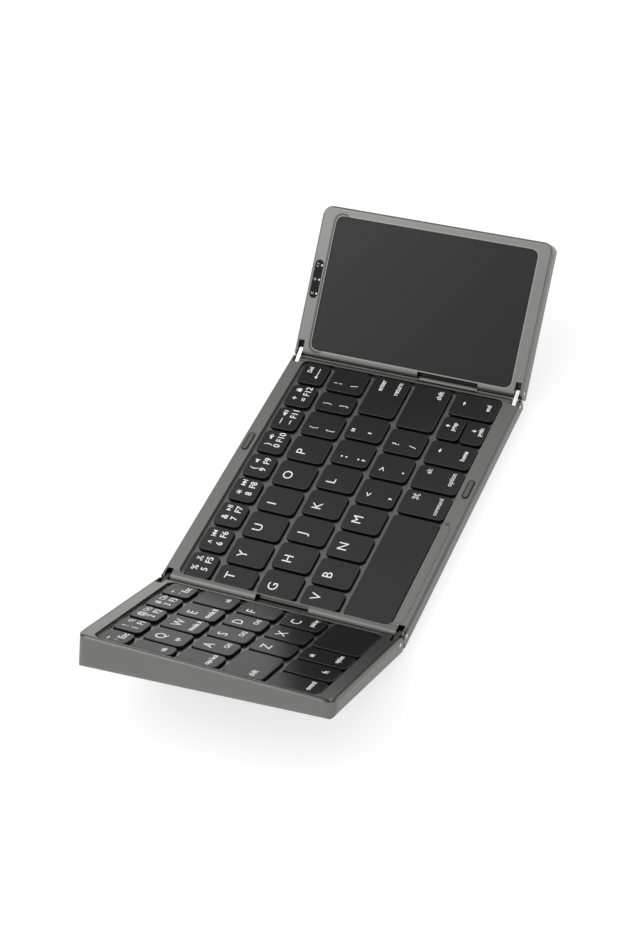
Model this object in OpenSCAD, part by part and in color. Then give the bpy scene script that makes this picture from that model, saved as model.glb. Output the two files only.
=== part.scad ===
// Three-panel folding keyboard: a middle key panel, a left key panel and a touchpad panel.
// Each fold is a pair of twin-pivot links. The panels are wedges, thicker at the far edge.
// X runs from the left panel to the touchpad panel, Y from the near edge to the far edge.

/* [Panels] */
// Depth of each panel, near edge to far edge
panel_depth = 118; // [114:0.5:126]
// Distance between the two fold pivots of the middle panel
pivot_span = 143.4; // [141:0.2:150]
// Thickness at the near edge
near_thick = 8.6; // [8.4:0.1:10]
// Thickness at the far edge
far_thick = 15; // [13.5:0.1:17]
// Gap between the ends of the two side panels when both are folded in
centre_gap = 0.6; // [0.4:0.1:2]
// Plan radius of the outer corners
corner_r = 5; // [4:0.25:6]
// Radius of the lower outer edges
bottom_r = 2; // [0.8:0.1:2.4]
// Chamfer of the deck's outer edges
deck_chamfer = 0.8; // [0.2:0.05:1]

/* [Shells] */
// Thickness of the deck plate, which is also the depth of the parting line
deck_t = 1.2; // [1:0.1:1.5]
// Thickness of the lower case's walls
wall_t = 1.5; // [1.2:0.1:1.8]
// Thickness of the lower case's outer end wall
end_wall_t = 0.9; // [0.7:0.1:1]
// Thickness of the lower case's floor
floor_t = 1.2; // [1:0.1:1.4]
// Depth of the groove along the parting line
seam_groove = 0.25; // [0.1:0.05:0.4]

/* [Folds] */
// Distance between the two pivots of a link
link_span = 7; // [6.8:0.1:7.6]
// Depth of the pivots under the deck
pivot_drop = 3.2; // [3:0.1:3.3]
// Angle of the left panel above flat
left_angle = 28.8; // [0:0.1:180]
// Angle of the touchpad panel above flat
right_angle = 41.8; // [0:0.1:180]
// Radius of a link's round ends
link_r = 2; // [1.8:0.1:2.2]
// Thickness of a link
link_t = 1.8; // [1.4:0.1:2.6]
// Clearance at each side of a link in its notch
link_clear = 0.6; // [0.2:0.05:0.8]
// Thickness of the ear outside a link
ear_t = 1.4; // [1.2:0.1:2]
// Length of the inner bearing of a pin
boss_t = 1.6; // [1.4:0.1:1.6]
// Radius of a hinge pin
pin_r = 1; // [0.8:0.05:1.2]
// Running clearance of a link on its pin
pin_fit = 0.05; // [0.02:0.01:0.1]
// Extra length of the notch behind a side panel's pivot
side_notch = 2; // [0:0.1:2.2]
// Half thickness of a ribbon cable
ribbon_half = 0.1; // [0.05:0.05:0.2]
// Near end of the left ribbon cable
left_ribbon_y = -13; // [-20:1:0]
// Width of the left ribbon cable
left_ribbon_w = 25; // [15:1:30]
// Near end of the right ribbon cable
right_ribbon_y = -36; // [-40:1:-20]
// Width of the right ribbon cable
right_ribbon_w = 30; // [15:1:34]

/* [Key field] */
// Deck margin beyond the far edge of the key field
far_margin = 6.8; // [6.6:0.1:8]
// Deck margin before the near edge of the key field
near_margin = 7.4; // [7.2:0.1:8.5]
// Distance from a pivot to the key field, towards the panel's middle
field_inset = 0.9; // [0.6:0.1:1.5]
// Deck margin at the left panel's outer end
left_end_margin = 1.8; // [1.7:0.1:3]
// Depth of the sunk key field
field_drop = 1.6; // [1:0.05:1.7]
// Thickness of the key field's web
web_t = 0.9; // [0.7:0.05:1.1]
// Corner radius of the key field
field_r = 3.4; // [3:0.2:4.4]

/* [Keys] */
// Gap between the keys of a letter row
key_gap = 1.45; // [1.2:0.05:1.6]
// Gap between the keys of the number row
number_gap = 1.95; // [1.6:0.05:2.2]
// Gap between two rows
row_gap = 2.4; // [2.1:0.05:2.6]
// Gap around the outermost keys
edge_gap = 0.35; // [0.3:0.05:0.5]
// Gap at the far side of the number row
far_gap = 2.1; // [1:0.1:2.5]
// Gap between the two stacked arrow keys
stack_gap = 0.8; // [0.6:0.05:1.2]
// Length of a number key towards the far edge
number_len = 13.2; // [12:0.1:14]
// Length of the space bar's row towards the far edge
bottom_len = 22.55; // [21:0.05:24]
// Width of the last key of the upper row
slash_w = 15.1; // [14:0.1:17]
// Width of the first key of the upper and the lower letter row
short_w = 10.9; // [10:0.1:12]
// Width of the first key of the home row
home_w = 14.3; // [13:0.1:15.4]
// Width of the second bracket key
bracket_w = 12.1; // [11:0.1:13]
// Width of the keys beside the space bar
side_key_w = 14.6; // [13:0.1:15]
// Width of the outermost key of the left number row
esc_w = 10.5; // [9.5:0.1:13]
// Width of the outermost key of the left upper row
tab_w = 8.7; // [8:0.1:12]
// Width of the outermost key of the left home row
caps_w = 12.1; // [10:0.1:14]
// Width of a modifier key on the left panel
left_mod_w = 12.6; // [11.5:0.1:13]
// Corner radius of a key
key_r = 2.5; // [1.8:0.1:3]
// Depth of a key's top under the deck
key_drop = 0.1; // [0.05:0.05:0.4]
// Height of a key cap
key_h = 2.6; // [2:0.1:2.8]
// Wall and roof of a key cap
key_wall = 0.8; // [0.6:0.05:0.9]
// Chamfer round a key's top
key_chamfer = 0.3; // [0.15:0.05:0.4]
// Travel of a key
key_travel = 1.2; // [0.8:0.05:1.3]
// Clearance between a key and its hole
key_clear = 0.25; // [0.2:0.05:0.35]

/* [Inside] */
// Thickness of the switch membrane
membrane_t = 0.4; // [0.3:0.05:0.5]
// Thickness of the steel support plate
plate_t = 0.5; // [0.4:0.05:0.6]
// Gap under a fully pressed key
press_gap = 0.8; // [0.7:0.05:0.9]
// Radius of a rubber dome
dome_r = 2.8; // [2:0.1:3]
// Radius of a case screw's shank
screw_r = 0.8; // [0.6:0.05:0.9]
// Radius of a case screw's head
screw_head_r = 1.7; // [1.5:0.05:1.8]
// Radius of a latch magnet
magnet_r = 1.9; // [1.5:0.1:2]
// Thickness of a latch magnet
magnet_t = 1.4; // [1:0.1:1.6]
// Distance from the closing line to a latch magnet
magnet_x = 6; // [5:0.5:8]
// Distance from a side panel's latch magnet to its outer screw post
magnet_to_post = 9.7; // [8:0.1:12]
// Thickness of a circuit board
board_t = 0.8; // [0.6:0.1:1]
// Width of the main board
board_w = 42; // [38:1:43]
// Depth of the main board
board_d = 27; // [24:1:32]
// Distance from the middle panel's centre to the charging port
port_x = 26; // [18:1:32]
// Width of the battery
battery_w = 42; // [30:1:48]
// Length of the battery
battery_l = 62; // [50:1:66]
// Thickness of the battery
battery_t = 3.6; // [3:0.1:4]

/* [Touchpad] */
// Distance from the pivot to the touchpad
pad_inset = 1; // [0.9:0.1:3]
// Deck margin at the touchpad panel's outer end
pad_end_margin = 4.3; // [3:0.1:5]
// Deck margin beyond the touchpad's far edge
pad_far_margin = 8; // [6.8:0.1:9]
// Deck margin before the touchpad's near edge
pad_near_margin = 6.6; // [6.5:0.1:10]
// Corner radius of the touchpad
pad_r = 3.4; // [2:0.2:5]
// Depth of the touchpad's surface under the deck
pad_drop = 0.35; // [0.2:0.05:0.4]
// Thickness of the touchpad's plate
pad_t = 0.8; // [0.6:0.05:1]
// Width of the ledge that the plate lies on
ledge_w = 2; // [1.5:0.1:3]
// Clearance around the plate
pad_clear = 0.15; // [0.1:0.05:0.3]
// Distance from the pivot to the indicator window's middle
window_x = 35; // [30:0.5:40]
// Length of the indicator window
window_l = 19; // [15:0.5:22]
// Distance between the indicator lights
led_pitch = 7; // [5:0.1:8]
// Width of the indicator window
window_w = 4.4; // [3.5:0.1:4.4]

/* [Rubber parts] */
// Radius of a foot
foot_r = 4; // [3:0.5:5]
// How far a foot stands out of the case
foot_out = 0.5; // [0.3:0.1:0.8]
// How far a foot sits in the case
foot_in = 0.6; // [0.4:0.1:0.7]
// Distance from the middle panel's centre to the deck bumpers
bumper_x = 13; // [10:0.5:16]
// Length of a deck bumper
bumper_l = 11; // [8:0.5:12]
// Width of a deck bumper
bumper_w = 2.8; // [2.4:0.1:3.2]
// How far a deck bumper stands above the deck
bumper_out = 0.4; // [0.2:0.05:0.5]
// How far a deck bumper sits in the deck
bumper_in = 0.6; // [0.4:0.05:0.8]

/* [Hidden] */
$fn = 48;
eps = 0.01;
corner_steps = 5;                      // segments of a key's corner
edge_steps = 6;                        // segments of a case's lower edge
dome_sides = 12;
deep = 40;                             // below every panel
tilt = atan((far_thick - near_thick) / panel_depth);
mid_thick = (far_thick + near_thick) / 2;
bottom_drop = mid_thick * cos(tilt);   // square distance from the deck's centre to the underside
half_depth = panel_depth / 2;
pivot_x = pivot_span / 2;
end_r = pivot_drop;                    // the ends are round about the pivots
side_reach = pivot_x - centre_gap / 2; // pivot to a side panel's outer end
left_turn = left_angle / 2;            // each pivot takes half of the fold
right_turn = right_angle / 2;

slot_out = half_depth - ear_t;         // outer wall of a link's notch
slot_in = slot_out - link_t - 2 * link_clear;
boss_in = slot_in - boss_t;
notch_back = link_r + link_clear;
block_back = notch_back + side_notch + 1;
slot_floor = pivot_drop + link_r + 0.4;

field_far = half_depth - far_margin;
field_near = -half_depth + near_margin;
field_len = field_far - field_near;
mid_field_w = 2 * (pivot_x - field_inset);
left_field_w = side_reach - left_end_margin - field_inset + 0.3;
mid_run = mid_field_w - 2 * edge_gap;
left_run = left_field_w - 2 * edge_gap;
left_field_x = -(side_reach - left_end_margin) + left_field_w / 2;
web_z = field_drop + web_t;
pan_wall = 0.6;
// The three letter rows share what the number row and the space bar's row leave
near_gap = edge_gap + 0.2;
letter_len = (field_len - far_gap - number_len - bottom_len - 4 * row_gap - near_gap) / 3;
row_len = [number_len, letter_len, letter_len, letter_len, bottom_len];
stack_len = (bottom_len - stack_gap) / 2;

// The letter keys share what the named keys of their row leave
mid_number_w = (mid_run - 8 * number_gap) / 9;
letter_w = (mid_run - short_w - bracket_w - slash_w - 8 * key_gap) / 6;
left_number_w = (left_run - esc_w - 4 * number_gap) / 4;
left_letter_w = (left_run - tab_w - 4 * key_gap) / 4;
left_home_w = (left_run - caps_w - 4 * key_gap) / 4;
// Widths of the keys of each row from left to right; a 0 takes what is left of the row
six = [for (i = [1:6]) letter_w];
mid_rows = [
    [for (i = [1:9]) mid_number_w],
    concat([short_w], six, [bracket_w, 0]),
    concat([home_w], six, [0]),
    concat([short_w], six, [0]),
    [0, side_key_w, side_key_w, side_key_w, side_key_w, side_key_w]
];
left_rows = [
    [0, left_number_w, left_number_w, left_number_w, left_number_w],
    [0, left_letter_w, left_letter_w, left_letter_w, left_letter_w],
    [0, left_home_w, left_home_w, left_home_w, left_home_w],
    [0, left_letter_w, left_letter_w, left_letter_w],
    [left_mod_w, left_mod_w, left_mod_w, 0]
];
stack_key = 4;                         // the arrow cell that holds two stacked keys

press_floor = key_drop + key_h + key_travel + press_gap; // the membrane's top
plate_z = press_floor + membrane_t;
dome_h = press_floor - key_drop - key_wall - key_travel - 0.2;
scissor_t = press_gap - 0.2;
plate_far = field_far - 2.2;
plate_near = field_near + 1.6;
post_y = half_depth - 3.8;
post_r = 1.8;
post_z = 5;
mid_posts = [-50, 0, 50];
side_magnet_x = side_reach + centre_gap / 2 - magnet_x;
side_posts = [14, side_magnet_x - magnet_to_post];
cut_reach = 2 * panel_depth;           // beyond every panel, for the cuts that split it
board_z = 7.8;                         // top of the main board
port_w = 9;
port_h = 3.2;
port_l = 7.3;
port_shell = 0.35;
board_x = 25;
board_far = half_depth - wall_t - 0.5;
window_y = half_depth - 3.8;
bumper_y = half_depth - 3.6;
pad_w = side_reach - pad_end_margin - pad_inset;
pad_len = panel_depth - pad_far_margin - pad_near_margin;
pad_x = pad_inset + pad_w / 2;
pad_y = (pad_near_margin - pad_far_margin) / 2;
pad_seat = pad_drop + pad_t;
ribbon_gap = 0.4;
pin_short = 0.1;                       // the pins' ends lie just under the side walls

// The origin is under the middle of the whole object as it stands
left_reach = outer_reach(left_turn);
right_reach = outer_reach(right_turn);
shift_x = (left_reach - right_reach) / 2;
top_z = -pivot_drop + link_span * sin(right_turn) + side_reach * sin(right_angle)
    + pivot_drop * cos(right_angle);
shift_y = (top_z - mid_thick) * sin(tilt) / 2;

function outer_reach(turn) =
    pivot_x + link_span * cos(turn) + (side_reach - bottom_r) * cos(2 * turn)
    + (far_thick - pivot_drop - bottom_r - 0.3) * sin(2 * turn) + bottom_r;
function total(v, n) = n <= 0 ? 0 : v[n - 1] + total(v, n - 1);
function gap_of(row) = row == 0 ? number_gap : key_gap;
function width(rows, run, row, i) = rows[row][i] > 0 ? rows[row][i]
    : run - total(rows[row], len(rows[row])) - gap_of(row) * (len(rows[row]) - 1);
function start(rows, run, row, i) = i <= 0 ? -run / 2
    : start(rows, run, row, i - 1) + width(rows, run, row, i - 1) + gap_of(row);
function row_far(row) = field_far - far_gap - total(row_len, row) - row * row_gap;
// A key is [middle x, middle y, width, length]
function key(rows, run, row, i) = [
    start(rows, run, row, i) + width(rows, run, row, i) / 2,
    row_far(row) - row_len[row] / 2,
    width(rows, run, row, i),
    row_len[row]
];
function mid_key(row, i) = key(mid_rows, mid_run, row, i);
function left_key(row, i) = let (k = key(left_rows, left_run, row, i))
    [k[0] + left_field_x, k[1], k[2], k[3]];
function arrow_key(side) = let (k = mid_key(4, stack_key))
    [k[0], k[1] + side * (stack_len + stack_gap) / 2, k[2], stack_len];
function keys_of(panel, row, list) = [for (i = list) panel == "left" ? left_key(row, i) : mid_key(row, i)];
function is_stack(row, i) = row == 4 && i == stack_key;
function mid_cells() = [for (r = [0:4]) for (i = [0:len(mid_rows[r]) - 1]) mid_key(r, i)];
function mid_keys() = concat(
    [for (r = [0:4]) for (i = [0:len(mid_rows[r]) - 1]) if (!is_stack(r, i)) mid_key(r, i)],
    [arrow_key(1), arrow_key(-1)]);
function left_keys() = [for (r = [0:4]) for (i = [0:len(left_rows[r]) - 1]) left_key(r, i)];
// Corner points of a rounded rectangle, each corner an arc in equal steps
function round_rect(w, h, r) = [
    for (q = [0:3]) for (s = [0:corner_steps])
        let (a = 90 * q + 90 * s / corner_steps, sx = (q == 0 || q == 3) ? 1 : -1, sy = q < 2 ? 1 : -1)
        [sx * (w / 2 - r) + r * cos(a), sy * (h / 2 - r) + r * sin(a)]
];
// Points of an arc in equal steps
function arc(x, y, r, a0, a1) = [
    for (s = [0:edge_steps]) let (a = a0 + (a1 - a0) * s / edge_steps) [x + r * cos(a), y + r * sin(a)]
];
function underside(y) = -mid_thick - y * tan(tilt);

// ---- Places ----
// The deck's own frame: z = 0 on the middle panel's deck, tilted so that the underside is level
module on_deck() {
    translate([shift_x, shift_y, foot_out + bottom_drop]) rotate([tilt, 0, 0]) children();
}
// The left panel's frame: x = 0 at its pivot, the panel lies towards -x
module on_left() {
    on_deck() left_link_frame() translate([-link_span, 0, 0]) rotate([0, left_turn, 0])
        translate([0, 0, pivot_drop]) children();
}
// The touchpad panel's frame: x = 0 at its pivot, the panel lies towards +x
module on_right() {
    on_deck() right_link_frame() translate([link_span, 0, 0]) rotate([0, -right_turn, 0])
        translate([0, 0, pivot_drop]) children();
}
module left_link_frame() {
    translate([-pivot_x, 0, -pivot_drop]) rotate([0, left_turn, 0]) children();
}
module right_link_frame() {
    translate([pivot_x, 0, -pivot_drop]) rotate([0, -right_turn, 0]) children();
}
// z = 0 on the underside, square to it
module on_underside() {
    rotate([-tilt, 0, 0]) translate([0, 0, -bottom_drop]) children();
}
module along_x(x0, x1) {
    translate([x0, 0, 0]) rotate([90, 0, 90]) linear_extrude(x1 - x0) children();
}
module along_y(y0, y1) {
    translate([0, y1, 0]) rotate([90, 0, 0]) linear_extrude(y1 - y0) children();
}
module block(x0, x1, y0, y1, z0, z1) {
    translate([x0, y0, z0]) cube([x1 - x0, y1 - y0, z1 - z0]);
}
module at_ends() {
    children();
    mirror([0, 1, 0]) children();
}

// ---- Outlines ----
// Section across a panel's depth: chamfered at the deck, round at the underside
module depth_section() {
    y_far = half_depth - bottom_r;
    z_far = underside(y_far) + bottom_r / cos(tilt);
    z_near = underside(-y_far) + bottom_r / cos(tilt);
    polygon(concat(
        arc(-y_far, z_near, bottom_r, 180, 270 - tilt),
        arc(y_far, z_far, bottom_r, 270 - tilt, 360),
        [
            [half_depth, -deck_chamfer], [half_depth - deck_chamfer, 0],
            [-half_depth + deck_chamfer, 0], [-half_depth, -deck_chamfer]
        ]));
}
// Section of a side panel, round about its pivot at x = 0
module side_section() {
    polygon([
        [-end_r, -pivot_drop], [-end_r, -deep], [side_reach, -deep], [side_reach, -deck_chamfer],
        [side_reach - deck_chamfer, 0], [0, 0]
    ]);
    translate([0, -pivot_drop]) circle(end_r);
}
module middle_section() {
    polygon([
        [-pivot_x - end_r, -pivot_drop], [-pivot_x - end_r, -deep], [pivot_x + end_r, -deep],
        [pivot_x + end_r, -pivot_drop], [pivot_x, 0], [-pivot_x, 0]
    ]);
    for (s = [-1, 1]) translate([s * pivot_x, -pivot_drop]) circle(end_r);
}
// Plan of a side panel, drawn in by an inset at its outer end and sides
module side_plan(inset_end, inset_side) {
    r = corner_r - inset_side;
    x1 = side_reach - inset_end;
    y1 = half_depth - inset_side;
    polygon([
        [-end_r - 1, -y1], [x1 - r, -y1], [x1, r - y1], [x1, y1 - r], [x1 - r, y1], [-end_r - 1, y1]
    ]);
    for (s = [-1, 1]) translate([x1 - r, s * (y1 - r)]) circle(r);
}
// What the deck's chamfer takes away round an outer corner
module corner_trims() {
    for (s = [-1, 1]) translate([side_reach - corner_r, s * (half_depth - corner_r), -deck_chamfer]) difference() {
        translate([0, s > 0 ? 0 : -corner_r - 1, 0]) cube([corner_r + 1, corner_r + 1, 2]);
        cylinder(r1 = corner_r, r2 = corner_r - deck_chamfer - 1, h = deck_chamfer + 1);
    }
}
module side_envelope() {
    difference() {
        side_block();
        corner_trims();
    }
}
module side_block() {
    intersection() {
        along_y(-half_depth, half_depth) side_section();
        along_x(-end_r - 1, side_reach + 1) depth_section();
        translate([0, 0, -deep]) linear_extrude(deep + 1) side_plan(0, 0);
        on_underside() along_y(-panel_depth, panel_depth) polygon(concat(
            arc(side_reach - bottom_r, bottom_r, bottom_r, 270, 360),
            [[side_reach, deep], [-end_r - 1, deep], [-end_r - 1, 0]]));
    }
}
module middle_envelope() {
    intersection() {
        along_y(-half_depth, half_depth) middle_section();
        along_x(-pivot_x - end_r - 1, pivot_x + end_r + 1) depth_section();
    }
}
// Inside of a lower case across its depth, open at the top
module cavity_section() {
    y1 = half_depth - wall_t;
    lift = floor_t / cos(tilt);
    polygon([[-y1, 1], [y1, 1], [y1, underside(y1) + lift], [-y1, underside(-y1) + lift]]);
}

// ---- Shared shapes ----
// Notch for one link, with its pivot at x = 0 and the panel's end towards +x
module link_notch(back) {
    block(-notch_back - back, end_r + 1, slot_in, slot_out, -slot_floor, 1);
}
module pin_bores() {
    at_ends() along_y(boss_in - 0.5, half_depth + 1) translate([0, -pivot_drop]) circle(pin_r);
}
// Solid round one link's notch, under the deck
module hinge_block() {
    z0 = -slot_floor - 1.4;
    block(-block_back, end_r - 0.4, boss_in, half_depth - 0.5, z0, -deck_t);
}
module hinge_blocks() {
    at_ends() hinge_block();
}
module hinge_cuts(back) {
    at_ends() link_notch(back);
    pin_bores();
}
module pins() {
    at_ends() along_y(boss_in, half_depth - pin_short) translate([0, -pivot_drop]) circle(pin_r);
}
// A dog-bone link from the pivot at x = 0 to the one at x = link_span
module links() {
    at_ends() along_y(slot_in + link_clear, slot_out - link_clear) difference() {
        union() {
            for (x = [0, link_span]) translate([x, 0]) circle(link_r);
            translate([0, -link_r]) square([link_span, 2 * link_r]);
        }
        for (x = [0, link_span]) translate([x, 0]) circle(pin_r + pin_fit);
    }
}
// Opening for a ribbon cable in a round end that faces +x, from its pivot at x = 0
module ribbon_notch(y0, w) {
    block(-0.3, end_r + 1, y0 - ribbon_gap, y0 + w + ribbon_gap, -pivot_drop - ribbon_half - ribbon_gap, 1);
}
module key_hole(k) {
    translate([k[0], k[1], -web_z - 1]) linear_extrude(web_z + 2)
        polygon(round_rect(k[2] + 2 * key_clear, k[3] + 2 * key_clear, key_r + key_clear));
}
module key_cap(k) {
    w = k[2];
    h = k[3];
    c = key_chamfer;
    translate([k[0], k[1], -key_drop - key_h]) difference() {
        intersection() {
            linear_extrude(key_h) polygon(round_rect(w, h, key_r));
            along_y(-h, h) polygon([
                [-w / 2, 0], [w / 2, 0], [w / 2, key_h - c], [w / 2 - c, key_h],
                [-w / 2 + c, key_h], [-w / 2, key_h - c]
            ]);
            along_x(-w, w) polygon([
                [-h / 2, 0], [h / 2, 0], [h / 2, key_h - c], [h / 2 - c, key_h],
                [-h / 2 + c, key_h], [-h / 2, key_h - c]
            ]);
        }
        translate([0, 0, -1]) linear_extrude(key_h - key_wall + 1)
            polygon(round_rect(w - 2 * key_wall, h - 2 * key_wall, key_r - key_wall));
    }
}
module keys(list) {
    for (k = list) key_cap(k);
}
// The sunk field: a pan that hangs from the deck, drawn at a field's middle
module field_pan(w, len) {
    translate([0, 0, -web_z]) linear_extrude(web_z - deck_t + eps)
        polygon(round_rect(w + 2 * pan_wall, len + 2 * pan_wall, field_r + pan_wall));
}
module field_recess(w, len, drop) {
    translate([0, 0, -drop]) linear_extrude(drop + 1) polygon(round_rect(w, len, field_r));
}
field_y = (field_far + field_near) / 2;
// Stepped rubber domes, drawn as they are when pressed
module domes(list) {
    for (k = list) translate([k[0], k[1], -press_floor]) {
        cylinder(r = dome_r, h = dome_h / 2, $fn = dome_sides);
        cylinder(r = dome_r * 0.6, h = dome_h, $fn = dome_sides);
    }
}
// Folded scissor frames, one lying round each dome
module scissors(list) {
    for (k = list) {
        w = min(k[2] - 1.2, 13);
        h = min(k[3] - 1.2, 13);
        translate([k[0], k[1], -press_floor]) difference() {
            translate([-w / 2, -h / 2, 0]) cube([w, h, scissor_t]);
            translate([-w / 2 + 0.7, -h / 2 + 0.7, -1]) cube([w - 1.4, h - 1.4, scissor_t + 2]);
        }
    }
}
// Screw posts under a deck, with a pilot hole each
module deck_posts(list) {
    for (x = list) at_ends() translate([x, post_y, -post_z]) cylinder(r = post_r, h = post_z - deck_t + eps);
}
module pilot_holes(list) {
    for (x = list) at_ends() translate([x, post_y, -post_z - 1]) cylinder(r = screw_r, h = post_z - deck_t + 0.6);
}
module case_posts(list) {
    for (x = list) at_ends() translate([x, post_y, -deep]) cylinder(r = post_r + 0.6, h = deep - post_z);
}
head_sink = 1.1;
module screw_holes(list) {
    for (x = list) for (s = [-1, 1]) translate([x, s * post_y, 0]) {
        translate([0, 0, -deep]) cylinder(r = screw_r + 0.2, h = deep);
        translate([0, 0, underside(s * post_y) - 2]) cylinder(r = screw_head_r + 0.15, h = head_sink + 2);
    }
}
module case_screws(list) {
    for (x = list) for (s = [-1, 1]) translate([x, s * post_y, underside(s * post_y)]) {
        translate([0, 0, 0.2]) cylinder(r = screw_head_r, h = head_sink - 0.2);
        translate([0, 0, 0.2]) cylinder(r = screw_r, h = -underside(s * post_y) - deck_t - 1);
    }
}
module feet(list) {
    on_underside() for (p = list) translate([p[0], p[1], -foot_out]) cylinder(r = foot_r, h = foot_out + foot_in);
}
module foot_seats(list) {
    on_underside() for (p = list) translate([p[0], p[1], -1]) cylinder(r = foot_r, h = foot_in + 1);
}
module magnets(list) {
    for (x = list) at_ends() translate([x, post_y, -deck_t - magnet_t]) cylinder(r = magnet_r, h = magnet_t);
}
foot_y = half_depth - 14;
mid_foot_x = pivot_x - 9;
mid_feet_at = [for (sx = [-1, 1]) for (sy = [-1, 1]) [sx * mid_foot_x, sy * foot_y]];
side_feet_at = [for (sy = [-1, 1]) [side_reach - 9, sy * foot_y]];

// Split a panel at the parting line, with a groove along it
module lower_half() {
    intersection() {
        children();
        block(-cut_reach, cut_reach, -cut_reach, cut_reach, -deep, -deck_t);
    }
}
module upper_half() {
    intersection() {
        children();
        block(-cut_reach, cut_reach, -cut_reach, cut_reach, -deck_t, 1);
    }
}
module depth_grooves(x0, x1) {
    for (s = [-1, 1]) translate([0, s * half_depth, -deck_t])
        rotate([45, 0, 0]) block(x0, x1, -seam_groove, seam_groove, -seam_groove, seam_groove);
}

// ---- Middle panel ----
module middle_bottom_case() {
    cavity_x = pivot_x + end_r - 2.4;
    color("dimgray") on_deck() difference() {
        union() {
            difference() {
                lower_half() middle_envelope();
                along_x(-cavity_x, cavity_x) cavity_section();
            }
            intersection() {
                middle_envelope();
                union() {
                    for (s = [0, 1]) mirror([s, 0, 0]) translate([pivot_x, 0, 0]) hinge_blocks();
                    case_posts(mid_posts);
                    for (x = [-1, 1]) for (y = [4, board_d - 4])
                        translate([board_x + x * (board_w / 2 - 4), board_far - y, -deep])
                            cylinder(r = 1.5, h = deep - board_z - board_t);
                }
            }
        }
        depth_grooves(-cavity_x - 9, cavity_x + 9);
        for (s = [0, 1]) mirror([s, 0, 0]) translate([pivot_x, 0, 0]) hinge_cuts(0);
        translate([-pivot_x, 0, 0]) mirror([1, 0, 0]) ribbon_notch(left_ribbon_y, left_ribbon_w);
        screw_holes(mid_posts);
        foot_seats(mid_feet_at);
        translate([port_x, 0, port_h / 2 - board_z]) along_y(half_depth - 3, half_depth + 3)
            port_outline(port_w + 0.2, port_h + 0.2);
    }
}
module middle_top_frame() {
    color("gray") on_deck() difference() {
        union() {
            upper_half() middle_envelope();
            translate([0, field_y, 0]) field_pan(mid_field_w, field_len);
            deck_posts(mid_posts);
        }
        depth_grooves(-pivot_x - end_r - 1, pivot_x + end_r + 1);
        translate([0, field_y, 0]) field_recess(mid_field_w, field_len, field_drop);
        for (k = mid_cells()) key_hole(k);
        for (s = [0, 1]) mirror([s, 0, 0]) translate([pivot_x, 0, 0]) at_ends() link_notch(0);
        translate([-pivot_x, 0, 0]) mirror([1, 0, 0]) ribbon_notch(left_ribbon_y, left_ribbon_w);
        pilot_holes(mid_posts);
        at_ends() translate([bumper_x, bumper_y, -bumper_in]) bumper(bumper_in + 1);
    }
}
module bumper(h) {
    linear_extrude(h) {
        square([bumper_l - bumper_w, bumper_w], center = true);
        for (s = [-1, 1]) translate([s * (bumper_l - bumper_w) / 2, 0]) circle(bumper_w / 2);
    }
}
module deck_bumpers() {
    color("dimgray") on_deck() at_ends()
        translate([bumper_x, bumper_y, -bumper_in]) bumper(bumper_in + bumper_out);
}
module middle_support_plate() {
    color("silver") on_deck()
        block(-mid_field_w / 2 + 1.8, mid_field_w / 2 - 1.8, plate_near, plate_far, -plate_z - plate_t, -plate_z);
}
module middle_membrane() {
    color("lightsteelblue") on_deck()
        block(-mid_field_w / 2 + 1.8, mid_field_w / 2 - 1.8, plate_near, plate_far, -plate_z, -press_floor);
}
module middle_rubber_domes() {
    color("white") on_deck() domes(mid_keys());
}
module middle_scissors() {
    color("whitesmoke") on_deck() scissors(mid_keys());
}
module main_board() {
    x0 = board_x - board_w / 2;
    z1 = -board_z;
    color("darkgreen") on_deck() {
        block(x0, x0 + board_w, board_far - board_d, board_far, z1 - board_t, z1);
        block(x0 + 5, x0 + 12, board_far - 17, board_far - 10, z1 - eps, z1 + 1);
        block(x0 + 17, x0 + 22, board_far - 21, board_far - 16, z1 - eps, z1 + 0.9);
        block(x0 + 26, x0 + 37, board_far - 20, board_far - 16, z1 - eps, z1 + 1.4);
    }
}
module charging_port() {
    color("silver") on_deck() translate([port_x, half_depth - 0.3 - port_l, -board_z]) difference() {
        along_y(0, port_l) translate([0, port_h / 2]) port_outline(port_w, port_h);
        difference() {
            along_y(1, port_l + 1) translate([0, port_h / 2])
                port_outline(port_w - 2 * port_shell, port_h - 2 * port_shell);
            block(-3.3, 3.3, 0, port_l - 1, port_h / 2 - 0.35, port_h / 2 + 0.35);
        }
    }
}
module port_outline(w, h) {
    square([w - h, h], center = true);
    for (s = [-1, 1]) translate([s * (w - h) / 2, 0]) circle(h / 2);
}
module middle_magnets() {
    color("silver") on_deck() magnets([-magnet_x, magnet_x]);
}
module middle_feet() {
    color("black") on_deck() feet(mid_feet_at);
}
module middle_screws() {
    color("darkgray") on_deck() case_screws(mid_posts);
}
module middle_hinge_pins() {
    color("silver") on_deck() for (s = [-1, 1]) translate([s * pivot_x, 0, 0]) pins();
}

// ---- Side panel shells, drawn towards +x from the pivot at x = 0 ----
module side_case() {
    difference() {
        union() {
            difference() {
                lower_half() side_envelope();
                intersection() {
                    along_x(-end_r + 2.2, side_reach + 1) cavity_section();
                    translate([0, 0, -deep]) linear_extrude(deep + 1) side_plan(end_wall_t, wall_t);
                }
            }
            intersection() {
                side_envelope();
                union() {
                    mirror([1, 0, 0]) hinge_blocks();
                    case_posts(side_posts);
                }
            }
        }
        depth_grooves(-end_r - 1, side_reach - corner_r);
        mirror([1, 0, 0]) hinge_cuts(side_notch);
        screw_holes(side_posts);
        foot_seats(side_feet_at);
    }
}
module side_frame() {
    difference() {
        union() {
            upper_half() side_envelope();
            deck_posts(side_posts);
        }
        depth_grooves(-end_r - 1, side_reach - corner_r);
        mirror([1, 0, 0]) at_ends() link_notch(side_notch);
        pilot_holes(side_posts);
    }
}

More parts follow.
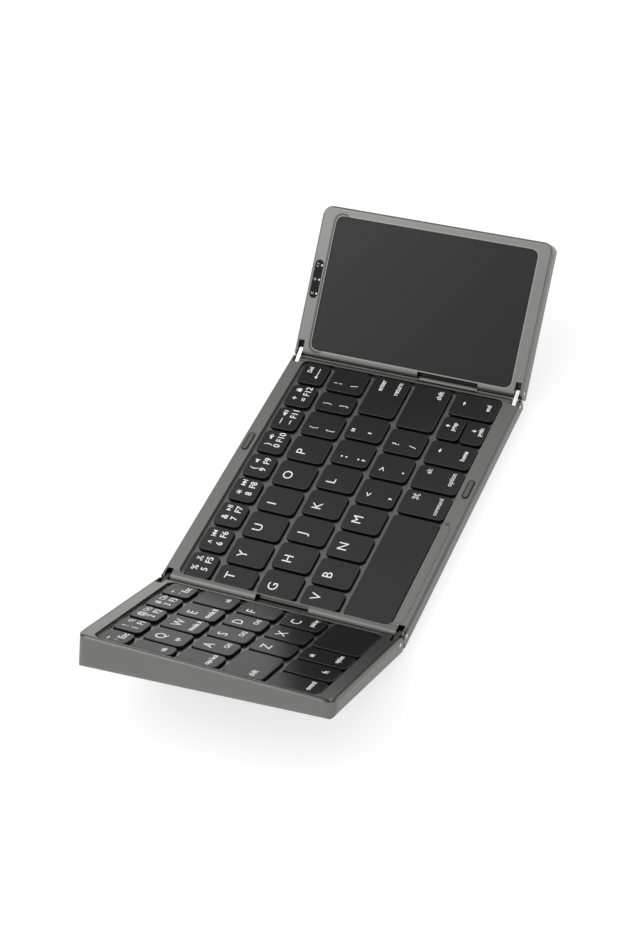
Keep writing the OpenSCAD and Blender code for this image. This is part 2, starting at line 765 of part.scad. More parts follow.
// ---- Left panel ----
module left_bottom_case() {
    color("dimgray") on_left() mirror([1, 0, 0]) side_case();
}
module left_top_frame() {
    color("gray") on_left() difference() {
        union() {
            mirror([1, 0, 0]) side_frame();
            translate([left_field_x, field_y, 0]) field_pan(left_field_w, field_len);
        }
        translate([left_field_x, field_y, 0]) field_recess(left_field_w, field_len, field_drop);
        for (k = left_keys()) key_hole(k);
    }
}
left_plate_0 = left_field_x - left_field_w / 2 + 1.2;
left_plate_1 = left_field_x + left_field_w / 2 - 1.8;
module left_support_plate() {
    color("silver") on_left() block(left_plate_0, left_plate_1, plate_near, plate_far, -plate_z - plate_t, -plate_z);
}
module left_membrane() {
    color("lightsteelblue") on_left() block(left_plate_0, left_plate_1, plate_near, plate_far, -plate_z, -press_floor);
}
module left_rubber_domes() {
    color("white") on_left() domes(left_keys());
}
module left_scissors() {
    color("whitesmoke") on_left() scissors(left_keys());
}
module left_magnets() {
    color("silver") on_left() magnets([-side_magnet_x]);
}
module left_feet() {
    color("black") on_left() mirror([1, 0, 0]) feet(side_feet_at);
}
module left_screws() {
    color("darkgray") on_left() mirror([1, 0, 0]) case_screws(side_posts);
}
module left_hinge_pins() {
    color("silver") on_left() pins();
}

// ---- Touchpad panel ----
module touchpad_bottom_case() {
    color("dimgray") on_right() difference() {
        side_case();
        mirror([1, 0, 0]) ribbon_notch(right_ribbon_y, right_ribbon_w);
    }
}
module pad_shape(grow, r, z0, z1) {
    translate([pad_x, pad_y, z0]) linear_extrude(z1 - z0)
        polygon(round_rect(pad_w + 2 * grow, pad_len + 2 * grow, r));
}
module touchpad_top_frame() {
    color("gray") on_right() difference() {
        union() {
            side_frame();
            pad_shape(pan_wall, pad_r + pan_wall, -web_z, -deck_t + eps);
        }
        pad_shape(0, pad_r, -pad_seat, 1);
        pad_shape(-ledge_w, 1.5, -web_z - 1, 1);
        mirror([1, 0, 0]) ribbon_notch(right_ribbon_y, right_ribbon_w);
        translate([window_x, window_y, -deck_t - 1]) window_outline(0, 3);
    }
}
module window_outline(inset, h) {
    w = window_w - 2 * inset;
    linear_extrude(h) {
        square([window_l - window_w, w], center = true);
        for (s = [-1, 1]) translate([s * (window_l - window_w) / 2, 0]) circle(w / 2);
    }
}
module touchpad_plate() {
    color("dimgray") on_right() pad_shape(-pad_clear, pad_r - pad_clear, -pad_seat, -pad_drop);
}
module touchpad_board() {
    color("darkgreen") on_right() {
        pad_shape(-ledge_w - 0.3, 1.2, -pad_seat - board_t, -pad_seat);
        block(pad_x - 4, pad_x + 4, pad_y - 4, pad_y + 4, -pad_seat - board_t - 1, -pad_seat - board_t + eps);
    }
}
module battery() {
    color("lightgray") on_right() on_underside()
        block(pad_x - battery_w / 2, pad_x + battery_w / 2, -battery_l / 2, battery_l / 2,
            floor_t, floor_t + battery_t);
}
module indicator_window() {
    color("black") on_right() translate([window_x, window_y, -deck_t]) window_outline(0.05, deck_t - 0.1);
}
module indicator_lights() {
    color("white") on_right() translate([window_x, window_y, -deck_t - 1.5]) {
        translate([0, 0, 0.35]) cube([window_l - 1.5, window_w - 0.8, 0.7], center = true);
        for (i = [-1:1]) translate([i * led_pitch, -0.3, 1.05]) cube([1.6, 0.9, 0.9], center = true);
    }
}
module touchpad_magnets() {
    color("silver") on_right() magnets([side_magnet_x]);
}
module touchpad_feet() {
    color("black") on_right() feet(side_feet_at);
}
module touchpad_screws() {
    color("darkgray") on_right() case_screws(side_posts);
}
module touchpad_hinge_pins() {
    color("silver") on_right() pins();
}

// ---- Folds ----
module left_hinge_links() {
    color("white") on_deck() left_link_frame() mirror([1, 0, 0]) links();
}
module right_hinge_links() {
    color("white") on_deck() right_link_frame() links();
}
// Each ribbon runs from one pivot to the round end of the other panel
module left_ribbon_cable() {
    color("darkorange") on_deck() left_link_frame()
        block(-link_span + end_r + 0.15, 0, left_ribbon_y, left_ribbon_y + left_ribbon_w, -ribbon_half, ribbon_half);
}
module right_ribbon_cable() {
    color("darkorange") on_deck() right_link_frame()
        block(end_r + 0.15, link_span, right_ribbon_y, right_ribbon_y + right_ribbon_w, -ribbon_half, ribbon_half);
}

// ---- Keys ----
module left_set(row, list) {
    color("black") on_left() keys(keys_of("left", row, list));
}
module mid_set(row, list) {
    color("black") on_deck() keys(keys_of("middle", row, list));
}
module left_number_keys() left_set(0, [0:4]);
module tab_key() left_set(1, [0]);
module left_upper_keys() left_set(1, [1:4]);
module caps_lock_key() left_set(2, [0]);
module left_home_keys() left_set(2, [1:4]);
module left_shift_key() left_set(3, [0]);
module left_lower_keys() left_set(3, [1:3]);
module left_modifier_keys() left_set(4, [0:2]);
module left_space_key() left_set(4, [3]);
module number_keys() mid_set(0, [0:7]);
module delete_key() mid_set(0, [8]);
module upper_keys() mid_set(1, [0:8]);
module home_keys() mid_set(2, [0:6]);
module enter_key() mid_set(2, [7]);
module lower_keys() mid_set(3, [0:6]);
module right_shift_key() mid_set(3, [7]);
module space_bar() mid_set(4, [0]);
module right_modifier_keys() mid_set(4, [1:2]);
module arrow_left_key() mid_set(4, [3]);
module arrow_up_key() color("black") on_deck() key_cap(arrow_key(1));
module arrow_down_key() color("black") on_deck() key_cap(arrow_key(-1));
module arrow_right_key() mid_set(4, [5]);

middle_bottom_case();
middle_top_frame();
middle_support_plate();
middle_membrane();
middle_rubber_domes();
middle_scissors();
main_board();
charging_port();
middle_magnets();
deck_bumpers();
middle_feet();
middle_screws();
middle_hinge_pins();
left_bottom_case();
left_top_frame();
left_support_plate();
left_membrane();
left_rubber_domes();
left_scissors();
left_magnets();
left_feet();
left_screws();
left_hinge_pins();
touchpad_bottom_case();
touchpad_top_frame();
touchpad_plate();
touchpad_board();
battery();
indicator_window();
indicator_lights();
touchpad_magnets();
touchpad_feet();
touchpad_screws();
touchpad_hinge_pins();
left_hinge_links();
right_hinge_links();
left_ribbon_cable();
right_ribbon_cable();
left_number_keys();
tab_key();
left_upper_keys();
caps_lock_key();
left_home_keys();
left_shift_key();
left_lower_keys();
left_modifier_keys();
left_space_key();
number_keys();
delete_key();
upper_keys();
home_keys();
enter_key();
lower_keys();
right_shift_key();
space_bar();
right_modifier_keys();
arrow_left_key();
arrow_up_key();
arrow_down_key();
arrow_right_key();
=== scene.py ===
import math

import bpy
import numpy as np
from mathutils import Matrix, Vector


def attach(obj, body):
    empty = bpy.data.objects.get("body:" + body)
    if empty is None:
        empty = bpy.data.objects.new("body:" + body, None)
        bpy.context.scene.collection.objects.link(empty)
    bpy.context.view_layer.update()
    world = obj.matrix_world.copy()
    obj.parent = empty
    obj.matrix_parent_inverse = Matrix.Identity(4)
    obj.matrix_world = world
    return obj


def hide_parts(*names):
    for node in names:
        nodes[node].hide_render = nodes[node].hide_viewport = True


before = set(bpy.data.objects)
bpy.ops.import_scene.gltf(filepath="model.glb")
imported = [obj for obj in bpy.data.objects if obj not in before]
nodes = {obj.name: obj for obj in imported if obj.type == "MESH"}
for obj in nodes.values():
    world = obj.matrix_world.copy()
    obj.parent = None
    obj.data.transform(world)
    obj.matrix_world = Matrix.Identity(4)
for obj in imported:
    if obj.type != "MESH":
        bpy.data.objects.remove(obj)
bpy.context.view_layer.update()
mm = 0.001
print("frame loaded:", len(nodes), "nodes")

# The panels' layout, in millimetres and degrees, as in the part's source
layout = {
    "panelDepth": 118.0,
    "nearThick": 8.6,
    "farThick": 15.0,
    "pivotX": 71.7,
    "pivotDrop": 3.2,
    "linkSpan": 7.0,
    "leftTurn": 14.4,
    "rightTurn": 20.9,
    "sideReach": 71.4,
    "bottomRadius": 2.0,
    "endSlope": 0.3,
    "footOut": 0.5,
}


def turnX(degrees):
    # a turn about X: y' = y cos - z sin, z' = y sin + z cos
    c, s = math.cos(math.radians(degrees)), math.sin(math.radians(degrees))
    return np.array([[1, 0, 0, 0], [0, c, -s, 0], [0, s, c, 0], [0, 0, 0, 1.0]])


def turnY(degrees):
    # a turn about Y: x' = x cos + z sin, z' = z cos - x sin
    c, s = math.cos(math.radians(degrees)), math.sin(math.radians(degrees))
    return np.array([[c, 0, s, 0], [0, 1, 0, 0], [-s, 0, c, 0], [0, 0, 0, 1.0]])


def shift(x, y, z):
    # a move: the three offsets in the last column of a unit matrix
    m = np.eye(4)
    m[:3, 3] = (x, y, z)
    return m


def outerReach(turn):
    # how far a side panel's outer end reaches from the middle: pivot + link x cos(turn)
    # + length x cos(2 turn) + depth x sin(2 turn) + lower edge's radius
    p = layout
    a, b = math.radians(turn), math.radians(2 * turn)
    length = p["sideReach"] - p["bottomRadius"]
    depth = p["farThick"] - p["pivotDrop"] - p["bottomRadius"] - p["endSlope"]
    return (p["pivotX"] + p["linkSpan"] * math.cos(a) + length * math.cos(b) + depth * math.sin(b)
            + p["bottomRadius"])


def panelPlaces():
    # the middle deck is tilted by the wedge's angle, atan(rise / depth), and lifted onto its feet; each side
    # deck, with x = 0 at its own pivot, is half the fold, then the link, then the other half
    p = layout
    tilt = math.degrees(math.atan((p["farThick"] - p["nearThick"]) / p["panelDepth"]))
    midThick = (p["farThick"] + p["nearThick"]) / 2
    drop = midThick * math.cos(math.radians(tilt))
    shiftX = (outerReach(p["leftTurn"]) - outerReach(p["rightTurn"])) / 2
    b = math.radians(2 * p["rightTurn"])
    top = (-p["pivotDrop"] + p["linkSpan"] * math.sin(b / 2) + p["sideReach"] * math.sin(b)
           + p["pivotDrop"] * math.cos(b))
    shiftY = (top - midThick) * math.sin(math.radians(tilt)) / 2
    middle = shift(shiftX, shiftY, p["footOut"] + drop) @ turnX(tilt)
    down, up = shift(0, 0, -p["pivotDrop"]), shift(0, 0, p["pivotDrop"])
    left = (middle @ shift(-p["pivotX"], 0, 0) @ down @ turnY(p["leftTurn"]) @ shift(-p["linkSpan"], 0, 0)
            @ turnY(p["leftTurn"]) @ up)
    right = (middle @ shift(p["pivotX"], 0, 0) @ down @ turnY(-p["rightTurn"]) @ shift(p["linkSpan"], 0, 0)
             @ turnY(-p["rightTurn"]) @ up)
    return {"middle": middle, "left": left, "right": right}


places = panelPlaces()


def placed(points, panel):
    # deck millimetres to metres in the shared frame: turned, moved, then times 0.001
    m = places[panel]
    return (points @ m[:3, :3].T + m[:3, 3]) * mm


view = {
    "eye": (-0.57452573, -0.37988575, 0.69767684),
    "turn": (0.78588897, 0.18843589, -1.15449742),
    "lens": 82.2913,
    "sensor": 36,
    "clip": 0.02,
}


def makeCamera():
    # eye in metres, turn in radians, lens and sensor in millimetres
    camData = bpy.data.cameras.new("viewCamera")
    camData.lens = view["lens"]
    camData.sensor_width = view["sensor"]
    camData.clip_start = view["clip"]
    camera = bpy.data.objects.new("viewCamera", camData)
    camera.location = view["eye"]
    camera.rotation_euler = view["turn"]
    bpy.context.scene.collection.objects.link(camera)
    bpy.context.scene.camera = camera
    print("camera ready")


lamps = {
    "key": {"place": (-0.25, 0.7, 1.1), "target": (0.0, 0.0, 0.0), "size": (0.9, 0.9), "power": 3.2},
    "strip": {"place": (-0.52, -0.82, 0.25), "target": (-0.05, -0.05, 0.02), "size": (0.09, 0.44),
              "power": 1.0},
}
room = {
    "worldLight": 0.8,
    "backdrop": 1.0,
    "floor": (0.5, 0.5, 0.5),
    "floorGlow": 0.65,
    "floorHalf": 6,
    # dark cards seen only in reflections: elevation, azimuth, radius, edge width and share of white kept
    "cards": ((40.0, 24.0, 7.7, 0.8, 0.12), (90.0, 0.0, 58.0, 14.0, 0.88)),
}


def makeLamps():
    # rectangle lamps, each with its own -Z axis along target - place
    for name, lamp in lamps.items():
        data = bpy.data.lights.new(name + "Lamp", "AREA")
        data.shape = "RECTANGLE"
        data.size, data.size_y = lamp["size"]
        data.energy = lamp["power"]
        obj = bpy.data.objects.new(name + "Lamp", data)
        obj.location = lamp["place"]
        away = Vector(lamp["target"]) - Vector(lamp["place"])
        obj.rotation_euler = away.to_track_quat("-Z", "Y").to_euler()
        bpy.context.scene.collection.objects.link(obj)
    print("lamps ready")


def seenStraight(tree):
    # 1 for camera, glossy and transmission rays, 0 for the light that falls on the object
    path = tree.nodes.new("ShaderNodeLightPath")
    clear = mathNode(tree, "MAXIMUM", path.outputs["Is Camera Ray"], path.outputs["Is Transmission Ray"])
    return mathNode(tree, "MAXIMUM", clear, path.outputs["Is Glossy Ray"])


def cardLevel(tree):
    # white, less what each card takes away: level = product of kept + (1 - kept) x step(angle from the card)
    direction = tree.nodes.new("ShaderNodeTexCoord").outputs["Generated"]
    path = tree.nodes.new("ShaderNodeLightPath")
    level = room["backdrop"]
    for high, around, radius, edge, kept in room["cards"]:
        e, a = math.radians(high), math.radians(around)
        dot = tree.nodes.new("ShaderNodeVectorMath")
        dot.operation = "DOT_PRODUCT"
        dot.inputs[1].default_value = (math.cos(e) * math.cos(a), math.cos(e) * math.sin(a), math.sin(e))
        tree.links.new(direction, dot.inputs[0])
        step = rangeNode(tree, dot.outputs["Value"], math.cos(math.radians(radius - edge)),
                         math.cos(math.radians(radius + edge)), kept, "SMOOTHSTEP")
        level = mathNode(tree, "MULTIPLY", level, step)
    seen = tree.nodes.new("ShaderNodeMix")
    tree.links.new(path.outputs["Is Camera Ray"], seen.inputs[0])
    tree.links.new(level, seen.inputs[2])
    seen.inputs[3].default_value = room["backdrop"]
    return seen.outputs[0]


def makeRoom():
    # world = worldLight on the object, and the cards' level where a ray runs straight to it
    world = bpy.data.worlds.new("softRoom")
    bpy.context.scene.world = world
    world.use_nodes = True
    tree = world.node_tree
    tree.nodes.clear()
    out = tree.nodes.new("ShaderNodeOutputWorld")
    light = tree.nodes.new("ShaderNodeBackground")
    light.inputs["Color"].default_value = (1, 1, 1, 1)
    light.inputs["Strength"].default_value = room["worldLight"]
    white = tree.nodes.new("ShaderNodeBackground")
    white.inputs["Color"].default_value = (1, 1, 1, 1)
    tree.links.new(cardLevel(tree), white.inputs["Strength"])
    mix = tree.nodes.new("ShaderNodeMixShader")
    tree.links.new(seenStraight(tree), mix.inputs["Fac"])
    tree.links.new(light.outputs[0], mix.inputs[1])
    tree.links.new(white.outputs[0], mix.inputs[2])
    tree.links.new(mix.outputs[0], out.inputs["Surface"])
    print("room ready")


def makeFloor():
    # one large pale plane under the feet: diffuse + floorGlow where a ray runs straight to it
    h = room["floorHalf"]
    mesh = bpy.data.meshes.new("floor")
    mesh.from_pydata([(-h, -h, 0), (h, -h, 0), (h, h, 0), (-h, h, 0)], [], [(0, 1, 2, 3)])
    floor = bpy.data.objects.new("floor", mesh)
    bpy.context.scene.collection.objects.link(floor)
    mat = bpy.data.materials.new("paleFloor")
    mat.use_nodes = True
    tree = mat.node_tree
    tree.nodes.clear()
    out = tree.nodes.new("ShaderNodeOutputMaterial")
    diffuse = tree.nodes.new("ShaderNodeBsdfDiffuse")
    diffuse.inputs["Color"].default_value = (*room["floor"], 1)
    glow = tree.nodes.new("ShaderNodeEmission")
    glow.inputs["Color"].default_value = (1, 1, 1, 1)
    level = mathNode(tree, "MULTIPLY", seenStraight(tree), room["floorGlow"])
    tree.links.new(level, glow.inputs["Strength"])
    both = tree.nodes.new("ShaderNodeAddShader")
    tree.links.new(diffuse.outputs[0], both.inputs[0])
    tree.links.new(glow.outputs[0], both.inputs[1])
    tree.links.new(both.outputs[0], out.inputs["Surface"])
    mesh.materials.append(mat)
    print("floor ready")


def newGroup(name, ins, outs):
    # an empty node group: its inputs with their first values, and its outputs
    group = bpy.data.node_groups.new(name, "ShaderNodeTree")
    for label, kind, value in ins:
        socket = group.interface.new_socket(label, in_out="INPUT", socket_type=kind)
        socket.default_value = value
    for label, kind in outs:
        group.interface.new_socket(label, in_out="OUTPUT", socket_type=kind)
    return group, group.nodes.new("NodeGroupInput"), group.nodes.new("NodeGroupOutput")


def mathNode(tree, operation, a, b=None):
    # one sum on two values, each a number or another node's output
    node = tree.nodes.new("ShaderNodeMath")
    node.operation = operation
    for i, value in enumerate((a, b)):
        if value is None:
            continue
        if isinstance(value, (int, float)):
            node.inputs[i].default_value = value
        else:
            tree.links.new(value, node.inputs[i])
    return node.outputs[0]


def centredNode(tree, value, share):
    # (value - 0.5) x share, so that a noise of 0 to 1 swings about nothing
    return mathNode(tree, "MULTIPLY", mathNode(tree, "SUBTRACT", value, 0.5), share)


def rangeNode(tree, value, low, high, least, blend="LINEAR"):
    # runs from least at low to 1 at high
    node = tree.nodes.new("ShaderNodeMapRange")
    node.interpolation_type = blend
    tree.links.new(value, node.inputs["Value"])
    node.inputs["From Min"].default_value = low
    node.inputs["From Max"].default_value = high
    node.inputs["To Min"].default_value = least
    node.inputs["To Max"].default_value = 1.0
    return node.outputs["Result"]


def scaleColor(tree, color, gain):
    # colour x gain, channel by channel
    node = tree.nodes.new("ShaderNodeVectorMath")
    node.operation = "SCALE"
    tree.links.new(color, node.inputs[0])
    tree.links.new(gain, node.inputs["Scale"])
    return node.outputs[0]


def noiseNode(tree, vector, scale, detail, rough=0.5):
    # noise of 0 to 1 at a scale that is a number or another node's output
    node = tree.nodes.new("ShaderNodeTexNoise")
    if isinstance(scale, (int, float)):
        node.inputs["Scale"].default_value = scale
    else:
        tree.links.new(scale, node.inputs["Scale"])
    node.inputs["Detail"].default_value = detail
    node.inputs["Roughness"].default_value = rough
    tree.links.new(vector, node.inputs["Vector"])
    return node.outputs["Fac"]


# How the shared grain and strokes are built: noise as (scale, detail, roughness), shares of a full swing
blastNoise = {"detail": 3.0, "rough": 0.6, "slow": (28.0, 2.0), "smudge": (90.0, 4.0, 0.6),
              "speckle": 0.03}
strokeNoise = {"stretch": (1.0, 0.04, 1.0), "detail": 4.0, "rough": 0.7, "colour": 0.2, "sheen": 0.25}


def blastGroup():
    # blasted grain: colour x (1 + slow drift + fine speckle), roughness + smudge x spread, height = grain
    group, gin, gout = newGroup("blastedGrain", [
        ("Color", "NodeSocketColor", (0.2, 0.2, 0.2, 1)),
        ("Drift", "NodeSocketFloat", 0.06),
        ("Grain Scale", "NodeSocketFloat", 3200.0),
        ("Roughness", "NodeSocketFloat", 0.45),
        ("Roughness Spread", "NodeSocketFloat", 0.08),
    ], [("Color", "NodeSocketColor"), ("Roughness", "NodeSocketFloat"), ("Height", "NodeSocketFloat")])
    coord = group.nodes.new("ShaderNodeTexCoord").outputs["Object"]
    fine = noiseNode(group, coord, gin.outputs["Grain Scale"], blastNoise["detail"], blastNoise["rough"])
    slow = noiseNode(group, coord, *blastNoise["slow"])
    smudge = noiseNode(group, coord, *blastNoise["smudge"])
    drift = centredNode(group, slow, gin.outputs["Drift"])
    speckle = centredNode(group, fine, blastNoise["speckle"])
    gain = mathNode(group, "ADD", mathNode(group, "ADD", drift, speckle), 1.0)
    spread = centredNode(group, smudge, gin.outputs["Roughness Spread"])
    group.links.new(scaleColor(group, gin.outputs["Color"], gain), gout.inputs["Color"])
    group.links.new(mathNode(group, "ADD", gin.outputs["Roughness"], spread), gout.inputs["Roughness"])
    group.links.new(fine, gout.inputs["Height"])
    return group


def brushGroup():
    # strokes drawn out along Y: colour x (1 + stroke x share), roughness + stroke x share, height = stroke
    group, gin, gout = newGroup("brushedStrokes", [
        ("Color", "NodeSocketColor", (0.6, 0.6, 0.6, 1)),
        ("Stroke Scale", "NodeSocketFloat", 900.0),
        ("Roughness", "NodeSocketFloat", 0.25),
    ], [("Color", "NodeSocketColor"), ("Roughness", "NodeSocketFloat"), ("Height", "NodeSocketFloat")])
    coord = group.nodes.new("ShaderNodeTexCoord").outputs["Object"]
    stretch = group.nodes.new("ShaderNodeMapping")
    stretch.inputs["Scale"].default_value = strokeNoise["stretch"]
    group.links.new(coord, stretch.inputs["Vector"])
    stroke = noiseNode(group, stretch.outputs[0], gin.outputs["Stroke Scale"], strokeNoise["detail"],
                       strokeNoise["rough"])
    gain = mathNode(group, "ADD", centredNode(group, stroke, strokeNoise["colour"]), 1.0)
    sheen = centredNode(group, stroke, strokeNoise["sheen"])
    rough = mathNode(group, "ADD", gin.outputs["Roughness"], sheen)
    group.links.new(scaleColor(group, gin.outputs["Color"], gain), gout.inputs["Color"])
    group.links.new(rough, gout.inputs["Roughness"])
    group.links.new(stroke, gout.inputs["Height"])
    return group


def outlineGroup():
    # a line at a given inset from a rounded rectangle: distance = |max(q, 0)| + min(max(qx, qy), 0) - radius,
    # with q = |v - middle| - half + radius; the line is 1 - |distance + inset| / half its width
    group, gin, gout = newGroup("outlineLine", [
        ("Vector", "NodeSocketVector", (0, 0, 0)),
        ("Middle", "NodeSocketVector", (0, 0, 0)),
        ("Half", "NodeSocketVector", (10, 10, 0)),
        ("Radius", "NodeSocketFloat", 2.0),
        ("Inset", "NodeSocketFloat", 1.0),
        ("Width", "NodeSocketFloat", 0.3),
    ], [("Line", "NodeSocketFloat")])

    def vector(operation, a, b=None):
        # one sum on two vectors; a length comes out as a value
        node = group.nodes.new("ShaderNodeVectorMath")
        node.operation = operation
        for i, value in enumerate((a, b)):
            if isinstance(value, tuple):
                node.inputs[i].default_value = value
            elif value is not None:
                group.links.new(value, node.inputs[i])
        return node.outputs["Value"] if operation == "LENGTH" else node.outputs[0]

    g = gin.outputs
    q = vector("SUBTRACT", vector("ABSOLUTE", vector("SUBTRACT", g["Vector"], g["Middle"])), g["Half"])
    radius = group.nodes.new("ShaderNodeCombineXYZ")
    group.links.new(g["Radius"], radius.inputs[0])
    group.links.new(g["Radius"], radius.inputs[1])
    q = vector("MULTIPLY", vector("ADD", q, radius.outputs[0]), (1, 1, 0))
    parts = group.nodes.new("ShaderNodeSeparateXYZ")
    group.links.new(q, parts.inputs[0])
    beyond = vector("LENGTH", vector("MAXIMUM", q, (0, 0, 0)))
    within = mathNode(group, "MINIMUM", mathNode(group, "MAXIMUM", parts.outputs[0], parts.outputs[1]), 0.0)
    distance = mathNode(group, "SUBTRACT", mathNode(group, "ADD", beyond, within), g["Radius"])
    off = mathNode(group, "ABSOLUTE", mathNode(group, "ADD", distance, g["Inset"]))
    share = mathNode(group, "DIVIDE", off, mathNode(group, "MULTIPLY", g["Width"], 0.5))
    line = mathNode(group, "MAXIMUM", mathNode(group, "SUBTRACT", 1.0, share), 0.0)
    group.links.new(line, gout.inputs["Line"])
    return group


groups = {}


def useGroup(tree, name, values):
    # a shared group placed in a material, each input a constant or another node's output
    node = tree.nodes.new("ShaderNodeGroup")
    node.node_tree = groups[name]
    for label, value in values.items():
        if isinstance(value, (int, float, tuple)):
            node.inputs[label].default_value = value
        else:
            tree.links.new(value, node.inputs[label])
    return node


def newFinish(name, metallic=0.0, specular=0.5):
    # a material with its constants set on the shader's own sockets
    mat = bpy.data.materials.new(name)
    mat.use_nodes = True
    tree = mat.node_tree
    shader = tree.nodes["Principled BSDF"]
    shader.inputs["Metallic"].default_value = metallic
    shader.inputs["Specular IOR Level"].default_value = specular
    return mat, tree, shader


def addBump(tree, shader, height, distance, soft=None, samples=4):
    # a height times a distance in metres, over edges rounded by the soft radius
    bump = tree.nodes.new("ShaderNodeBump")
    bump.inputs["Distance"].default_value = distance
    bump.inputs["Strength"].default_value = 1.0
    tree.links.new(height, bump.inputs["Height"])
    if soft:
        rounded = tree.nodes.new("ShaderNodeBevel")
        rounded.samples = samples
        rounded.inputs["Radius"].default_value = soft
        tree.links.new(rounded.outputs[0], bump.inputs["Normal"])
    tree.links.new(bump.outputs[0], shader.inputs["Normal"])


def grainFinish(name, color, rough, metallic=0.0, specular=0.5, drift=0.06, grain=3200.0, spread=0.08,
                bump=0.00001, soft=None, paintedShadeFade=None):
    # grained plastic or metal; a fade (panel, share) is painted shade, taking the colour from that share at
    #     # the panel's near edge to all of it at the far edge
    mat, tree, shader = newFinish(name, metallic, specular)
    blast = useGroup(tree, "blast", {"Color": (*color, 1), "Drift": drift, "Grain Scale": grain,
                                     "Roughness": rough, "Roughness Spread": spread})
    tint = blast.outputs["Color"]
    if paintedShadeFade:
        panel, share = paintedShadeFade
        half = layout["panelDepth"] / 2
        parts = tree.nodes.new("ShaderNodeSeparateXYZ")
        tree.links.new(panelVector(tree, panel), parts.inputs[0])
        tint = scaleColor(tree, tint, rangeNode(tree, parts.outputs[1], -half, half, share))
    tree.links.new(tint, shader.inputs["Base Color"])
    tree.links.new(blast.outputs["Roughness"], shader.inputs["Roughness"])
    addBump(tree, shader, blast.outputs["Height"], bump, soft)
    return mat


def panelVector(tree, panel):
    # the panel's own deck millimetres: (object coordinates x 1000 - place) turned back by its inverse
    m = places[panel]
    back = m[:3, :3].T
    coord = tree.nodes.new("ShaderNodeTexCoord")
    node = tree.nodes.new("ShaderNodeMapping")
    node.inputs["Scale"].default_value = (1000, 1000, 1000)
    node.inputs["Rotation"].default_value = Matrix(back.tolist()).to_euler("XYZ")
    node.inputs["Location"].default_value = (-back @ m[:3, 3]).tolist()
    tree.links.new(coord.outputs["Object"], node.inputs["Vector"])
    return node.outputs[0]


# What all frame metal shares; a dark line never takes the colour under the least share
frameGrain = {"drift": 0.06, "scale": 2600.0, "spread": 0.06, "bump": 0.000003, "least": 0.03}


def frameFinish(name, color, rough, panel, lines=(), band=None, soft=0.0004):
    # blasted metal with fine lines: colour = grain x (1 + sum of line x strength), where a band is a line at
    # one height, 1 - |z - height| / half its width
    mat, tree, shader = newFinish(name, 1.0)
    blast = useGroup(tree, "blast", {"Color": (*color, 1), "Drift": frameGrain["drift"],
                                     "Grain Scale": frameGrain["scale"], "Roughness": rough,
                                     "Roughness Spread": frameGrain["spread"]})
    vector = panelVector(tree, panel)
    gain = 1.0
    for middle, half, radius, inset, width, strength in lines:
        line = useGroup(tree, "outline", {"Vector": vector, "Middle": (*middle, 0), "Half": (*half, 0),
                                          "Radius": radius, "Inset": inset, "Width": width}).outputs[0]
        gain = mathNode(tree, "ADD", gain, mathNode(tree, "MULTIPLY", line, strength))
    if band:
        height, width, strength = band
        parts = tree.nodes.new("ShaderNodeSeparateXYZ")
        tree.links.new(vector, parts.inputs[0])
        off = mathNode(tree, "ABSOLUTE", mathNode(tree, "SUBTRACT", parts.outputs[2], height))
        share = mathNode(tree, "SUBTRACT", 1.0, mathNode(tree, "DIVIDE", off, width / 2))
        line = mathNode(tree, "MAXIMUM", share, 0.0)
        gain = mathNode(tree, "ADD", gain, mathNode(tree, "MULTIPLY", line, strength))
    gain = mathNode(tree, "MAXIMUM", gain, frameGrain["least"])
    tree.links.new(scaleColor(tree, blast.outputs["Color"], gain), shader.inputs["Base Color"])
    tree.links.new(blast.outputs["Roughness"], shader.inputs["Roughness"])
    addBump(tree, shader, blast.outputs["Height"], frameGrain["bump"], soft)
    return mat


def brushedFinish(name, color, rough, scale=900.0, soft=None, bump=0.000004):
    # metal with the brushed strokes in its colour, roughness and height
    mat, tree, shader = newFinish(name, 1.0)
    brushed = useGroup(tree, "brush", {"Color": (*color, 1), "Stroke Scale": scale, "Roughness": rough})
    tree.links.new(brushed.outputs["Color"], shader.inputs["Base Color"])
    tree.links.new(brushed.outputs["Roughness"], shader.inputs["Roughness"])
    addBump(tree, shader, brushed.outputs["Height"], bump, soft)
    return mat


finishes = {}
pad = {"inset": 1.0, "endMargin": 4.3, "farMargin": 8.0, "nearMargin": 6.6, "radius": 3.4}


def padPlace():
    # the touchpad's opening: middle and half sizes from its margins to the panel's edges
    width = layout["sideReach"] - pad["endMargin"] - pad["inset"]
    length = layout["panelDepth"] - pad["farMargin"] - pad["nearMargin"]
    return {"middle": (pad["inset"] + width / 2, (pad["nearMargin"] - pad["farMargin"]) / 2),
            "half": (width / 2, length / 2), "radius": pad["radius"]}


past = 400                     # reaches past every edge, so that only some sides of an outline show
foldPast = 20                  # the same past a side panel's pivot, for its side at the fold
bumper = {"places": ((13.0, -55.4), (13.0, 55.4)), "half": (5.5, 1.4), "radius": 1.4}


def deckLines():
    # the middle deck's lines, each as (middle, half sizes, corner radius, inset, width, strength)
    far = layout["panelDepth"] / 2
    lines = {
        "edge": ((0, 0), (90, far), 0.5, 0.45, 0.9, -0.6),
        "farEdge": ((0, -past), (past, past + far), 0.5, 0.85, 0.9, -0.35),
        "fold": ((0, 0), (70.2, past), 0.5, 0.0, 1.0, -0.45),
        "foldShade": ((0, 0), (72.4, past), 0.5, 0.0, 4.4, -0.4),
        "nearGroove": ((-39.0, -51.5), (30.0, 4.7), 4.4, 0.0, 0.75, -0.45),
        "nearDimple": ((-9.4, -54.0), (1.2, 1.0), 1.0, 0.5, 1.0, -0.55),
    }
    return list(lines.values()) + [(place, bumper["half"], bumper["radius"], -0.1, 0.9, -0.8)
                                   for place in bumper["places"]]


